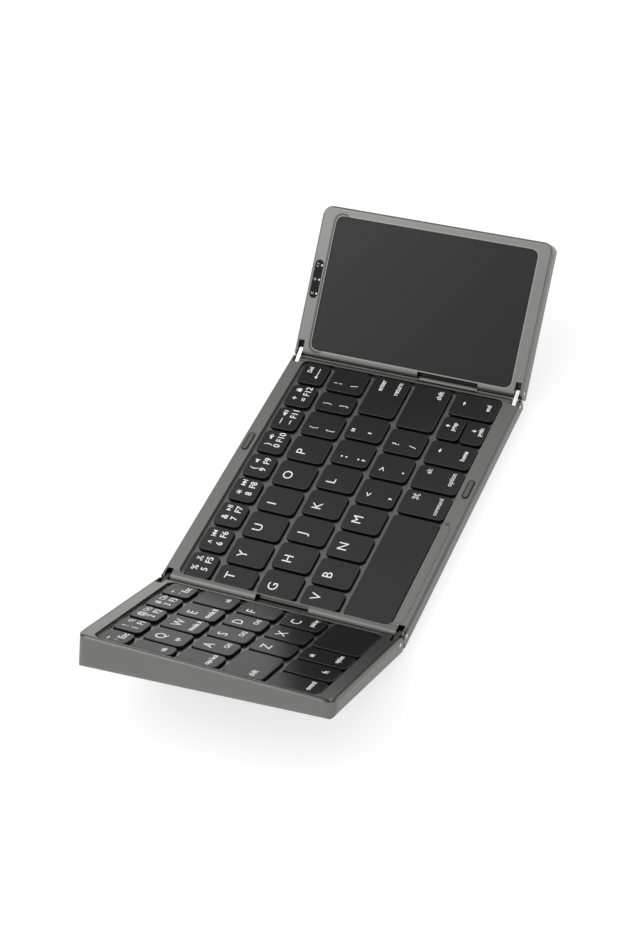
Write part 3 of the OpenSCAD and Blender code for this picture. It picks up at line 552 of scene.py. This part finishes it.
def padLines(sideMiddle, sideHalf):
    # the touchpad frame's lines: edge, near and far rims, the opening's rim and the shade beyond it; the
    # outer
    #     # rim and the opening's rim are lightened as painted highlights, and the shade beyond the opening is
    #     painted shade
    far = layout["panelDepth"] / 2
    opening = padPlace()
    middle, half = opening["middle"], opening["half"]
    lines = {
        "edge": ((sideMiddle, 0), sideHalf, 2.5, 0.8, 0.7, -0.45),
        # painted highlights on the outer rim and on the opening's rim, then painted shade beyond the opening
        "outerRim": ((sideMiddle - past / 2, 0), (sideHalf[0] + past / 2, past), 2.5, 0.9, 1.2, 0.35),
        "openingRim": (middle, half, opening["radius"], -0.35, 0.6, 0.5),
        "farShade": ((middle[0], far - pad["farMargin"] - 3.1), (half[0] + 1.0, 4.0), 4.0, 0.0, 1.8, -0.7),
    }
    return list(lines.values())


def makeFinishes():
    # every finish by name: colour, roughness, then what sets it apart
    groups.update({"blast": blastGroup(), "brush": brushGroup(), "outline": outlineGroup()})
    f = finishes
    far = layout["panelDepth"] / 2
    sideMiddle = (layout["sideReach"] - foldPast) / 2
    sideHalf = ((layout["sideReach"] + foldPast) / 2, far)
    sideEdge = ((-sideMiddle, 0), sideHalf, 2.5, 0.85, 1.7, -0.8)
    # the left case's end face and a strip beside it are lightened: a painted highlight
    endHighlight = ((-sideMiddle, 0), (sideHalf[0], past), 0.5, 0.0, 2.4, 0.25)
    # two dark lines on the right ribbon at the slit's edges: painted shade in the slit
    slitShade = ((layout["pivotX"] + layout["linkSpan"] / 2, 0), (1.6, past), 0.5, 0.0, 2.4, -0.95)
    bumperRims = [(place, bumper["half"], bumper["radius"], 0.15, 0.9, -0.9) for place in bumper["places"]]
    frames = {
        "middleMetal": ((0.262, 0.26, 0.257), 0.28, "middle", deckLines(), (-1.4, 2.8, -0.4), None),
        "leftMetal": ((0.24, 0.238, 0.235), 0.28, "left", [sideEdge], (-0.7, 1.4, -0.15)),
        # the touchpad frame's band darkens the opening's walls, and a thin line just under the top on the
        # outer sides: painted shade
        "padMetal": ((0.235, 0.233, 0.23), 0.3, "right", padLines(sideMiddle, sideHalf), (-0.22, 0.5, -0.25)),
        "middleCase": ((0.155, 0.154, 0.152), 0.34, "middle", (), (-1.4, 2.8, -0.4)),
        "leftCase": ((0.148, 0.147, 0.145), 0.34, "left", [endHighlight]),
        "ribbonFilm": ((0.2, 0.198, 0.195), 0.35, "middle", [slitShade]),
        "bumperRubber": ((0.17, 0.168, 0.166), 0.4, "middle", bumperRims),
    }
    grained = {
        "caseMetal": dict(color=(0.155, 0.154, 0.152), rough=0.34, metallic=1.0, grain=2600.0, soft=0.0005),
        "keyTop": dict(color=(0.0045, 0.0045, 0.0047), rough=0.18, specular=0.55, grain=5200.0, drift=0.2,
                       spread=0.05, bump=0.000004),
        # the key sides are darker and duller than the tops: partly a black body under the top's paint, partly
        # painted shade on the sides
        "keySide": dict(color=(0.0025, 0.0025, 0.0025), rough=0.55, specular=0.12, grain=5200.0, drift=0.2,
                        bump=0.000002),
        "legendWhite": dict(color=(0.95, 0.95, 0.95), rough=0.6, specular=0.3, bump=0.000002),
        # the touchpad's surface darkens towards its near edge: painted shade
        "padSurface": dict(color=(0.009, 0.009, 0.0094), rough=0.3, specular=0.42, grain=6000.0, drift=0.1,
                           bump=0.000004, paintedShadeFade=("right", 0.02)),
        "filmBlue": dict(color=(0.32, 0.36, 0.42), rough=0.3, drift=0.1),
        "domeRubber": dict(color=(0.62, 0.62, 0.6), rough=0.5, drift=0.1),
        "whitePlastic": dict(color=(0.6, 0.6, 0.6), rough=0.4, drift=0.08, soft=0.0001),
        "boardGreen": dict(color=(0.02, 0.11, 0.05), rough=0.35, grain=1500.0, drift=0.3, soft=0.0001),
        "pouchFoil": dict(color=(0.55, 0.55, 0.56), rough=0.3, metallic=0.8, grain=900.0, bump=0.00003,
                          soft=0.0005),
        # the left ribbon is a lighter grey than the right ribbon's film: painted light in its shadowed notch
        "ribbonGrey": dict(color=(0.5, 0.495, 0.49), rough=0.35, metallic=1.0, drift=0.1),
        "footRubber": dict(color=(0.02, 0.02, 0.02), rough=0.7, specular=0.3, grain=1800.0, drift=0.2,
                           bump=0.00003),
        "smokedCover": dict(color=(0.004, 0.004, 0.0045), rough=0.1, specular=0.25, drift=0.05,
                            bump=0.000001),
        # white for the printed marks, and for the three light dots, where it is a painted glow
        "ledWhite": dict(color=(0.85, 0.85, 0.85), rough=0.35, bump=0.000002),
    }
    brushed = {
        "brightSteel": dict(color=(0.9, 0.89, 0.87), rough=0.2, soft=0.0002),
        # the left links are the same steel as the bright links, darkened: a painted dark reflection
        "darkSteel": dict(color=(0.07, 0.07, 0.072), rough=0.3, soft=0.0002),
        "plateSteel": dict(color=(0.55, 0.55, 0.56), rough=0.35),
        "screwSteel": dict(color=(0.12, 0.12, 0.125), rough=0.35, scale=1600.0, soft=0.0001),
        "portSteel": dict(color=(0.6, 0.6, 0.62), rough=0.28, soft=0.0001),
        "magnetPlate": dict(color=(0.7, 0.7, 0.7), rough=0.15, soft=0.0002),
    }
    f.update({name: frameFinish(name, *values) for name, values in frames.items()})
    f.update({name: grainFinish(name, **values) for name, values in grained.items()})
    f.update({name: brushedFinish(name, **values) for name, values in brushed.items()})
    print("finishes ready:", len(f))


nodeFinishes = {
    "middleMetal": ["middle_top_frame"],
    "leftMetal": ["left_top_frame"],
    "padMetal": ["touchpad_top_frame"],
    "middleCase": ["middle_bottom_case"],
    "leftCase": ["left_bottom_case"],
    "caseMetal": ["touchpad_bottom_case"],
    "padSurface": ["touchpad_plate"],
    "brightSteel": ["right_hinge_links", "middle_hinge_pins", "left_hinge_pins", "touchpad_hinge_pins"],
    "darkSteel": ["left_hinge_links"],
    "plateSteel": ["middle_support_plate", "left_support_plate"],
    "screwSteel": ["middle_screws", "left_screws", "touchpad_screws"],
    "portSteel": ["charging_port"],
    "magnetPlate": ["middle_magnets", "left_magnets", "touchpad_magnets"],
    "filmBlue": ["middle_membrane", "left_membrane"],
    "domeRubber": ["middle_rubber_domes", "left_rubber_domes"],
    "whitePlastic": ["middle_scissors", "left_scissors"],
    "boardGreen": ["main_board", "touchpad_board"],
    "pouchFoil": ["battery"],
    "ribbonFilm": ["right_ribbon_cable"],
    "ribbonGrey": ["left_ribbon_cable"],
    "footRubber": ["middle_feet", "left_feet", "touchpad_feet"],
    "bumperRubber": ["deck_bumpers"],
    "smokedCover": ["indicator_window"],
    "ledWhite": ["indicator_lights"],
}


def dressNodes():
    # each solid's one material slot takes its finish
    for finish, names in nodeFinishes.items():
        for name in names:
            mesh = nodes[name].data
            mesh.materials.clear()
            mesh.materials.append(finishes[finish])
    print("solids dressed")


def makePiece(name, points, faces, finish, body, replaced=(), picks=None, sharp=35):
    # a smooth mesh with edges kept sharp over the given angle; finish is one name, or several with picks
    # giving each face its own
    names = [finish] if isinstance(finish, str) else finish
    mesh = bpy.data.meshes.new(name)
    mesh.from_pydata(points.tolist(), [], faces)
    for label in names:
        mesh.materials.append(finishes[label])
    if picks is not None:
        mesh.polygons.foreach_set("material_index", np.asarray(picks, dtype=np.int32))
    mesh.polygons.foreach_set("use_smooth", np.ones(len(mesh.polygons), bool))
    mesh.set_sharp_from_angle(angle=math.radians(sharp))
    mesh.validate()
    mesh.update()
    obj = bpy.data.objects.new(name, mesh)
    bpy.context.scene.collection.objects.link(obj)
    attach(obj, body)
    if replaced:
        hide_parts(*replaced)
    return obj


def loftRings(rings):
    # rings of equal length joined by quads, point i to point i + 1; each end is capped by one face
    size, count = len(rings[0]), len(rings)
    index = np.arange(size)
    after = np.roll(index, -1)
    faces = []
    for r in range(count - 1):
        a, b = r * size, (r + 1) * size
        faces += np.column_stack([a + index, a + after, b + after, b + index]).tolist()
    faces.append(index[::-1].tolist())
    faces.append(((count - 1) * size + index).tolist())
    return np.concatenate(rings), faces


def joinShapes(shapes):
    # several point and face lists as one: each list's faces count on from the points before it
    points, faces, offset = [], [], 0
    for p, f in shapes:
        points.append(p)
        faces += [[i + offset for i in face] for face in f]
        offset += len(p)
    return np.concatenate(points), faces


def levelRing(outline, z):
    # a flat outline at one height
    return np.column_stack([outline, np.full(len(outline), z)])


def roundRectangle(width, length, radius, steps):
    # four corner arcs in equal steps, joined by straight sides
    radius = max(radius, keyShape["leastRadius"])
    angle = (np.arange(4)[:, None] * 90 + np.linspace(0, 90, steps + 1)[None, :]).ravel()
    quarter = np.repeat(np.arange(4), steps + 1)
    sx = np.where((quarter == 0) | (quarter == 3), 1, -1)
    sy = np.where(quarter < 2, 1, -1)
    a = np.radians(angle)
    return np.stack([sx * (width / 2 - radius) + radius * np.cos(a),
                     sy * (length / 2 - radius) + radius * np.sin(a)], 1)


keyShape = {
    "topZ": -0.1,
    "height": 2.6,
    "corner": 2.5,
    "wall": 0.8,
    "edge": 0.32,
    "edgeSteps": 5,
    "cornerSteps": 7,
    "leastRadius": 0.05,
    "rim": (0.05, 0.1),        # how far the lower rim is drawn in, and over what height
    "skirtStop": 0.3,          # where the straight skirt ends, under the rounded edge
    "flatStart": 0.15,         # where the flat top begins, inside the rounded edge
    "topRings": 4,             # rings that have the top's finish: half of the edge and the flat
}
field = {
    "far": 52.2, "near": -51.6, "edgeGap": 0.35, "farGap": 2.1, "rowGap": 2.4, "stackGap": 0.8,
    "keyGap": 1.45, "numberGap": 1.95, "nearSlack": 0.2,
    "rowLengths": (13.2, 18.6, 18.6, 18.6),
    "midRun": 140.9, "midX": 0.0, "leftRun": 68.3, "leftX": -35.1,
    "midRows": (("fill",) * 9, (10.9,) + (15.2,) * 6 + (12.1, "fill"), (14.3,) + (15.2,) * 6 + ("fill",),
                (10.9,) + (15.2,) * 6 + ("fill",), ("fill",) + (14.6,) * 5),
    "leftRows": (("fill",) + (12.5,) * 4, ("fill",) + (13.45,) * 4, ("fill",) + (12.6,) * 4,
                 ("fill",) + (13.45,) * 3, (12.6, 12.6, 12.6, "fill")),
}
field["lastLength"] = (field["far"] - field["near"] - field["farGap"] - sum(field["rowLengths"])
                       - len(field["rowLengths"]) * field["rowGap"] - field["edgeGap"] - field["nearSlack"])


def rowCells(panel, row):
    # middle x, middle y, width and length of each key of a row: the keys marked fill share what the
    # others and the gaps leave of the row
    p = field
    run, middle = (p["midRun"], p["midX"]) if panel == "middle" else (p["leftRun"], p["leftX"])
    widths = list(p["midRows" if panel == "middle" else "leftRows"][row])
    gap = p["numberGap"] if row == 0 else p["keyGap"]
    known = sum(w for w in widths if w != "fill")
    fill = (run - known - gap * (len(widths) - 1)) / max(1, widths.count("fill"))
    widths = np.array([fill if w == "fill" else w for w in widths])
    starts = middle - run / 2 + np.concatenate(([0], np.cumsum(widths + gap)[:-1]))
    lengths = list(p["rowLengths"]) + [p["lastLength"]]
    top = p["far"] - p["farGap"] - sum(lengths[:row]) - row * p["rowGap"]
    return [(s + w / 2, top - lengths[row] / 2, w, lengths[row]) for s, w in zip(starts, widths)]


def capSurface(cell):
    # a rounded rectangle carried inwards along a profile of (inset, height): inner wall, rim, skirt,
    # quarter-round edge with inset = edge x (1 - cos) and height = edge x sin, and flat top
    k = keyShape
    x, y, width, length = cell
    low, top, edge, wall = k["topZ"] - k["height"], k["topZ"], k["edge"], k["wall"]
    rim, rimHeight = k["rim"]
    turn = np.linspace(0, math.pi / 2, k["edgeSteps"] + 1)
    profile = [(wall, top - wall), (wall, low), (rim, low), (0.0, low + rimHeight),
               (0.0, top - edge - k["skirtStop"])]
    profile += [(edge * (1 - math.cos(t)), top - edge + edge * math.sin(t)) for t in turn]
    profile.append((edge + k["flatStart"], top))
    rings = []
    for inset, z in profile:
        loop = roundRectangle(width - 2 * inset, length - 2 * inset, k["corner"] - inset, k["cornerSteps"])
        rings.append(levelRing(loop + (x, y), z))
    points, faces = loftRings(rings)
    size, count = len(rings[0]), len(rings)
    ring = np.repeat(np.arange(count - 1), size)
    picks = np.where(ring >= count - 1 - k["topRings"], 0, 1)
    return points, faces, np.concatenate([picks, [1, 0]])


# Height of a capital in millimetres, and the share of its width that is kept
legendSizes = {"letter": (4.5, 1.0), "digit": (3.1, 0.92), "mark": (3.4, 0.9), "point": (4.6, 1.0),
               "bracket": (3.2, 0.78), "word": (2.6, 0.86), "small": (2.2, 0.84), "mode": (2.45, 0.92),
               "fine": (2.5, 0.84), "long": (2.15, 0.84), "icon": (3.5, 1.0)}
# How much the strokes are widened
legendWeights = {"letter": 0.0, "digit": 0.012, "mark": 0.006, "point": 0.012, "bracket": 0.0, "word": 0.012,
                 "small": 0.02, "mode": 0.026, "fine": 0.002, "long": 0.0}
fontLift = 0.015               # height of the print over a key, in millimetres
glyphThick = 0.004             # the same on the glyph as drawn, one unit high
glyphSteps = 3                 # segments of a glyph's curve
crossing = {"share": 0.06, "levels": 4}       # small differences in height where shapes of an icon cross

# Each key's legends as (text, across, along, size) from the key's middle, in millimetres; a pair
# such as ("l", 4.1) puts the text's own edge that far from the key's left or right edge
numberMarks = [("%", "5", "F5", "cut"), ("^", "6", "F6", "back"), ("&", "7", "F7", "play"),
               ("icon:star", "8", "F8", "next"), ("(", "9", "F9", "mute"), (")", "0", "F10", "quiet"),
               ("icon:longDash", "icon:dash", "F11", "loud"), ("+", "=", "F12", "lock")]
leftMarks = [("!", "1", "F1", "find"), ("@", "2", "F2", "copy"), ("#", "3", "F3", "pages")]
escapeLegend = [("~", -2.8, 2.4, "digit"), ("`", -2.8, -2.2, "digit"), ("Esc", 1.9, -2.2, "digit")]


def numberLegend(marks):
    # four marks in a square: sign over digit on the left, icon over function name on the right
    top, bottom, function, icon = marks
    return [(top, -1.9, 2.5, "digit"), (bottom, -1.9, -2.2, "digit"),
            (function, 3.7, -2.2, "digit"), ("icon:" + icon, 3.7, 2.5, "digit")]


def letterLegend(letter, inset, extra=None):
    # the letter at an inset from the key's left edge, then any smaller words
    return [(letter, ("l", inset), 3.2, "letter")] + (extra or [])


def letterRow(letters, insets, extras=()):
    # one letter for each key, with its inset; the first keys also have a word at (across, along)
    words = [[(text, across, along, size)] for text, across, along, size in extras]
    words += [None] * (len(letters) - len(words))
    return [letterLegend(*entry) for entry in zip(letters, insets, words)]


def pairLegend(top, bottom, across=-2.4, size="point"):
    # one sign above the other, each 4.2 mm from the key's middle
    return [(top, across, 4.2, size), (bottom, across, -4.2, size)]


stackedCell = 4                # where the up and down arrows share one cell of the last row

# Each key node: panel, row, which keys of the row, and their legends
keyNodes = {
    "number_keys": ("middle", 0, range(0, 8), [numberLegend(m) for m in numberMarks]),
    "delete_key": ("middle", 0, range(8, 9), [[("Del", ("r", 3.0), 2.6, "small"),
                                              ("icon:longBack", 0.3, -2.0, "digit")]]),
    "upper_keys": ("middle", 1, range(0, 9), letterRow("TYUIOP", (3.3, 4.1, 4.1, 4.4, 4.1, 4.1)) + [
        pairLegend("{", "[", -2.8, "bracket"), pairLegend("}", "]", -1.3, "bracket"),
        [("icon:broken", -2.4, 4.2, "digit"), ("\\", -2.4, -4.2, "mark")]]),
    "home_keys": ("middle", 2, range(0, 7), letterRow("GHJKL", (2.9, 4.1, 4.1, 4.1, 4.1)) + [
        pairLegend(":", ";", -3.0), pairLegend("\"", "'", -2.5)]),
    "enter_key": ("middle", 2, range(7, 8), [[("enter", ("r", 2.0), 4.2, "word"),
                                             ("return", ("r", 2.0), -4.3, "word")]]),
    "lower_keys": ("middle", 3, range(0, 7), letterRow("VBNM", (3.3, 4.4, 4.5, 4.6)) + [
        [("<", -1.9, 4.2, "mark"), (",", -1.9, -4.2, "point")],
        [(">", -2.0, 4.2, "mark"), (".", -2.0, -4.2, "point")], pairLegend("?", "/", -2.0, "mark")]),
    "right_shift_key": ("middle", 3, range(7, 8), [[("shift", ("r", 2.0), -4.3, "word")]]),
    "space_bar": ("middle", 4, range(0, 1), [[]]),
    "right_modifier_keys": ("middle", 4, range(1, 3), [
        [("icon:loop", 3.6, 5.7, "digit"), ("command", ("r", 2.0), -6.1, "long")],
        [("alt", ("r", 2.0), 5.7, "fine"), ("option", ("r", 1.9), -6.1, "fine")]]),
    "arrow_left_key": ("middle", 4, range(3, 4), [[("icon:back1", 1.3, 5.7, "digit"),
                                                   ("home", 0.9, -6.3, "small")]]),
    "arrow_up_key": ("middle", 4, None, [[("icon:up1", 1.3, 2.1, "digit"), ("pgup", 1.3, -0.8, "small")]]),
    "arrow_down_key": ("middle", 4, None, [[("icon:down1", 1.3, 0.6, "digit"),
                                            ("pgdn", 1.3, -2.3, "small")]]),
    "arrow_right_key": ("middle", 4, range(5, 6), [[("icon:next1", 1.0, 5.7, "digit"),
                                                    ("end", 0.8, -6.3, "small")]]),
    "left_number_keys": ("left", 0, range(0, 5), [escapeLegend] + [numberLegend(m) for m in leftMarks]
                         + [escapeLegend]),
    "tab_key": ("left", 1, range(0, 1), [[("tab", 0.0, -4.4, "small")]]),
    "left_upper_keys": ("left", 1, range(1, 5), letterRow("QWE", (3.2, 3.2, 3.2), [
        ("sys", -0.6, -4.3, "small"), ("mode A", 0.8, -4.3, "mode"), ("mode B", 0.8, -4.3, "mode")])
        + [[("tab", 2.2, -4.3, "small")]]),
    "caps_lock_key": ("left", 2, range(0, 1), [[("caps lock", 0.5, -4.2, "small")]]),
    "left_home_keys": ("left", 2, range(1, 5), letterRow("ASDF", (2.9, 2.9, 2.9, 2.6), [
        ("CH%d" % channel, 2.4, -4.2, "small") for channel in (1, 2, 3)])),
    "left_shift_key": ("left", 3, range(0, 1), [[("shift", ("l", 2.0), -3.4, "word")]]),
    "left_lower_keys": ("left", 3, range(1, 4), letterRow("ZX", (3.4, 3.4)) + [
        letterLegend("C", 3.2, [("pairing", 1.2, -4.2, "small")])]),
    "left_modifier_keys": ("left", 4, range(0, 3), [
        [("control", 0.3, -5.3, "small")], [("fn", 1.1, -5.2, "word")],
        [("alt", -1.3, 6.3, "small"), ("option", 1.1, -5.1, "small")]]),
    "left_space_key": ("left", 4, range(3, 4), [[]]),
}


def cellsOf(name):
    # the cells of a node's keys; the two stacked arrows each take half of one cell, less half their gap
    panel, row, picks = keyNodes[name][:3]
    if picks is None:
        x, y, w, length = rowCells(panel, row)[stackedCell]
        half = (length - field["stackGap"]) / 2
        side = 1 if name == "arrow_up_key" else -1
        return [(x, y + side * (half + field["stackGap"]) / 2, w, half)]
    cells = rowCells(panel, row)
    return [cells[i] for i in picks]


def makeKeys():
    # one piece for each key node, its caps side by side, in place of the plain solids
    for name, entry in keyNodes.items():
        caps = [capSurface(cell) for cell in cellsOf(name)]
        points, faces = joinShapes([cap[:2] for cap in caps])
        makePiece(name + "_caps", placed(points, entry[0]), faces, ["keyTop", "keySide"], name,
                  (name,), np.concatenate([cap[2] for cap in caps]), sharp=60)
    print("key caps ready:", len(keyNodes))


def glyphMesh(text, weight=0.0):
    # a text object made a mesh, its strokes widened by the weight
    curve = bpy.data.curves.new("glyph", "FONT")
    curve.body = text
    curve.size = 1.0
    curve.extrude = glyphThick
    curve.resolution_u = glyphSteps
    curve.offset = weight
    obj = bpy.data.objects.new("glyph", curve)
    bpy.context.scene.collection.objects.link(obj)
    bpy.context.view_layer.update()
    graph = bpy.context.evaluated_depsgraph_get()
    mesh = bpy.data.meshes.new_from_object(obj.evaluated_get(graph))
    points = np.empty(len(mesh.vertices) * 3)
    mesh.vertices.foreach_get("co", points)
    faces = [list(p.vertices) for p in mesh.polygons]
    bpy.data.objects.remove(obj)
    bpy.data.curves.remove(curve)
    bpy.data.meshes.remove(mesh)
    return points.reshape(-1, 3), faces


def barShape(x0, y0, x1, y1, thick):
    # a straight bar between two points, as a four-sided outline
    d = np.array([x1 - x0, y1 - y0], float)
    d /= np.linalg.norm(d)
    n = np.array([-d[1], d[0]]) * thick / 2
    a, b = np.array([x0, y0]), np.array([x1, y1])
    return [a - n, b - n, b + n, a + n]


def ringShape(x, y, radius, thick, start=0, stop=360, steps=20):
    # an arc of even thickness as a list of four-sided pieces
    a = np.radians(np.linspace(start, stop, steps + 1))
    inner, outer = radius - thick / 2, radius + thick / 2
    shapes = []
    for s, e in zip(a[:-1], a[1:]):
        shapes.append([(x + inner * math.cos(s), y + inner * math.sin(s)),
                       (x + outer * math.cos(s), y + outer * math.sin(s)),
                       (x + outer * math.cos(e), y + outer * math.sin(e)),
                       (x + inner * math.cos(e), y + inner * math.sin(e))])
    return shapes


def arrowShapes(angle, length, head=0.34, thick=0.12, spread=0.55):
    # a shaft and a head of width head x 2 spread, turned by the angle: (x cos - y sin, x sin + y cos)
    c, s = math.cos(math.radians(angle)), math.sin(math.radians(angle))
    neck = length / 2 - head
    flat = [barShape(-length / 2, 0, neck, 0, thick),
            [(neck, -head * spread), (length / 2, 0), (neck, head * spread)]]
    return [[(c * p[0] - s * p[1], s * p[0] + c * p[1]) for p in shape] for shape in flat]


def frameShapes(x, y, w, h, thick=0.09):
    # the four sides of a rectangle as bars: lower, upper, left, right
    left, right, low, high = x - w / 2, x + w / 2, y - h / 2, y + h / 2
    return [barShape(left, low, right, low, thick), barShape(left, high, right, high, thick),
            barShape(left, low, left, high, thick), barShape(right, low, right, high, thick)]


def moved(shape, dx):
    # the outline moved along x
    return [(p[0] + dx, p[1]) for p in shape]


# Icons as convex outlines in units of one capital's height, centred
pointLeft = [(0.0, 0.0), (0.42, -0.36), (0.42, 0.36)]
pointRight = [(0.0, -0.36), (0.42, 0.0), (0.0, 0.36)]
speaker = [[(-0.55, -0.16), (-0.32, -0.16), (-0.32, 0.16), (-0.55, 0.16)],
           [(-0.4, 0.0), (-0.02, -0.38), (-0.02, 0.38)]]
waves = [ringShape(-0.05, 0, 0.25, 0.09, -50, 50, 6), ringShape(-0.05, 0, 0.45, 0.09, -50, 50, 8)]
corners = [(sx * 0.3, sy * 0.3) for sx in (-1, 1) for sy in (-1, 1)]
icons = {
    "star": [barShape(-0.4 * math.cos(a), -0.4 * math.sin(a), 0.4 * math.cos(a), 0.4 * math.sin(a), 0.1)
             for a in np.radians((30, 90, 150))],
    "longDash": [barShape(-0.5, 0, 0.5, 0, 0.13)],
    "dash": [barShape(-0.36, 0, 0.36, 0, 0.13)],
    "broken": [barShape(0, 0.12, 0, 0.6, 0.1), barShape(0, -0.6, 0, -0.12, 0.1)],
    "back": [barShape(-0.55, -0.36, -0.55, 0.36, 0.12), moved(pointLeft, -0.47), moved(pointLeft, -0.03)],
    "next": [barShape(0.55, -0.36, 0.55, 0.36, 0.12), moved(pointRight, -0.39), moved(pointRight, 0.05)],
    "play": [moved(pointRight, -0.5), barShape(0.1, -0.36, 0.1, 0.36, 0.13),
             barShape(0.36, -0.36, 0.36, 0.36, 0.13)],
    "mute": speaker,
    "quiet": speaker + waves[0],
    "loud": speaker + waves[0] + waves[1],
    "lock": [[(-0.3, -0.4), (0.3, -0.4), (0.3, 0.1), (-0.3, 0.1)]] + ringShape(0, 0.12, 0.2, 0.1, 0, 180, 8),
    "cut": [barShape(-0.18, -0.2, 0.2, 0.45, 0.09), barShape(0.18, -0.2, -0.2, 0.45, 0.09)]
    + ringShape(-0.24, -0.28, 0.13, 0.08) + ringShape(0.24, -0.28, 0.13, 0.08),
    "find": ringShape(-0.05, 0.08, 0.26, 0.1) + [barShape(0.13, -0.12, 0.36, -0.38, 0.12)],
    "copy": frameShapes(-0.36, 0.06, 0.5, 0.6) + frameShapes(0.32, -0.06, 0.5, 0.6),
    "pages": frameShapes(-0.3, 0, 0.6, 0.66) + ringShape(0.38, -0.02, 0.24, 0.1),
    "loop": sum([ringShape(x, y, 0.15, 0.07, steps=12) for x, y in corners], [])
    + frameShapes(0, 0, 0.36, 0.36, 0.07),
    "longBack": arrowShapes(180, 2.0, 0.45),
    "back1": arrowShapes(180, 0.7, 0.42),
    "next1": arrowShapes(0, 0.7, 0.42),
    "up1": arrowShapes(90, 0.7, 0.42),
    "down1": arrowShapes(-90, 0.7, 0.42),
}


def slabMesh(shapes, thick):
    # each convex outline becomes a thin closed slab, wound anticlockwise by the sign of its area
    points, faces = [], []
    for shape in shapes:
        loop = np.array([(p[0], p[1]) for p in shape], float)
        area = 0.5 * np.sum(loop[:, 0] * np.roll(loop[:, 1], -1) - np.roll(loop[:, 0], -1) * loop[:, 1])
        if area < 0:
            loop = loop[::-1]
        n, base = len(loop), sum(len(p) for p in points)
        lift = thick * (1 + crossing["share"] * (len(points) // 2 % crossing["levels"]))
        points.append(np.column_stack([loop, np.full(n, -thick)]))
        points.append(np.column_stack([loop, np.full(n, lift)]))
        i = np.arange(n)
        j = np.roll(i, -1)
        faces.append((base + i[::-1]).tolist())
        faces.append((base + n + i).tolist())
        faces += np.column_stack([base + i, base + j, base + n + j, base + n + i]).tolist()
    return np.concatenate(points), faces


glyphs = {}


def legendMesh(text, size):
    # outline points in capital heights, centred on their own middle, and the half width
    key = (text, legendWeights[size])
    if key not in glyphs:
        if text.startswith("icon:"):
            points, faces = slabMesh(icons[text[len("icon:"):]], glyphThick)
        else:
            points, faces = glyphMesh(text, legendWeights[size])
            points[:, :2] /= capitalHeight
            points[:, 1] -= 0.5
            points[:, 0] -= (points[:, 0].min() + points[:, 0].max()) / 2
            if text in "~^":           # drawn at the top of the line, so centred along too
                points[:, 1] -= (points[:, 1].min() + points[:, 1].max()) / 2
        glyphs[key] = (points, faces, (points[:, 0].max() - points[:, 0].min()) / 2)
    return glyphs[key]


capitalHeight = np.ptp(glyphMesh("H")[0][:, 1])


def makeLegends():
    # each glyph = its unit outline x (size x share kept, size) + its place, just over the key's top
    made = 0
    for name, (panel, *_, legends) in keyNodes.items():
        points, faces, offset = [], [], 0
        for (x, y, width, _), marks in zip(cellsOf(name), legends):
            for text, across, along, size in marks:
                glyph, glyphFaces, half = legendMesh(text, size)
                scale, narrow = legendSizes["icon" if text.startswith("icon:") and size == "digit" else size]
                half *= narrow
                if isinstance(across, tuple):
                    edge, inset = across
                    off = width / 2 - inset - half * scale
                    cx = x - off if edge == "l" else x + off
                else:
                    cx = x + across
                p = glyph * (scale * narrow, scale, 1.0)
                p[:, 2] = glyph[:, 2] * fontLift / glyphThick + keyShape["topZ"]
                p[:, 0] += cx
                p[:, 1] += y + along
                points.append(p)
                faces += [[i + offset for i in f] for f in glyphFaces]
                offset += len(p)
        if points:
            makePiece(name + "_legends", placed(np.concatenate(points), panel), faces, "legendWhite", name,
                      sharp=30)
            made += 1
    print("legends ready:", made)


indicator = {
    "lights": (27.9, 34.8, 41.9), "lightY": 53.8, "light": 0.5, "lightSides": 16,
    "marksY": 56.0, "stroke": 0.16, "lift": 0.03, "sink": 0.005,
    "bar": (0.6, 0.45, 0.5), "ring": 0.5, "chain": 0.45,
}


def makeIndicator():
    # three dots painted white as lit lights (a painted glow) and a plain mark beside each, a bar, a ring
    #     # and a chain, just over the window
    d = indicator
    y, t = d["marksY"], d["stroke"]
    shapes = []
    for i, x in enumerate(d["lights"]):
        a = np.radians(np.arange(d["lightSides"]) * 360 / d["lightSides"])
        shapes.append(np.column_stack([x + d["light"] * np.cos(a), d["lightY"] + d["light"] * np.sin(a)]))
        if i == 0:
            wide, high, stem = d["bar"]
            shapes += [barShape(x - wide, y - high, x + wide, y - high, t),
                       barShape(x - wide, y + high, x + wide, y + high, t),
                       barShape(x, y - stem, x, y + stem, t)]
        elif i == 1:
            shapes += ringShape(x, y, d["ring"], t, steps=14)
        else:
            link = d["chain"]
            shapes += ringShape(x - link, y, link, t, 60, 300, 10)
            shapes += ringShape(x + link, y, link, t, -120, 120, 10)
    points, faces = slabMesh(shapes, d["lift"] / 2)
    points[:, 2] += keyShape["topZ"] + d["lift"] / 2 - d["sink"]
    makePiece("indicator_marks", placed(points, "right"), faces, "ledWhite", "touchpad_panel")
    print("indicator ready")


makeCamera()
makeLamps()
makeRoom()
makeFloor()
makeFinishes()
dressNodes()
makeKeys()
makeLegends()
makeIndicator()
bpy.context.scene.view_settings.view_transform = "Standard"
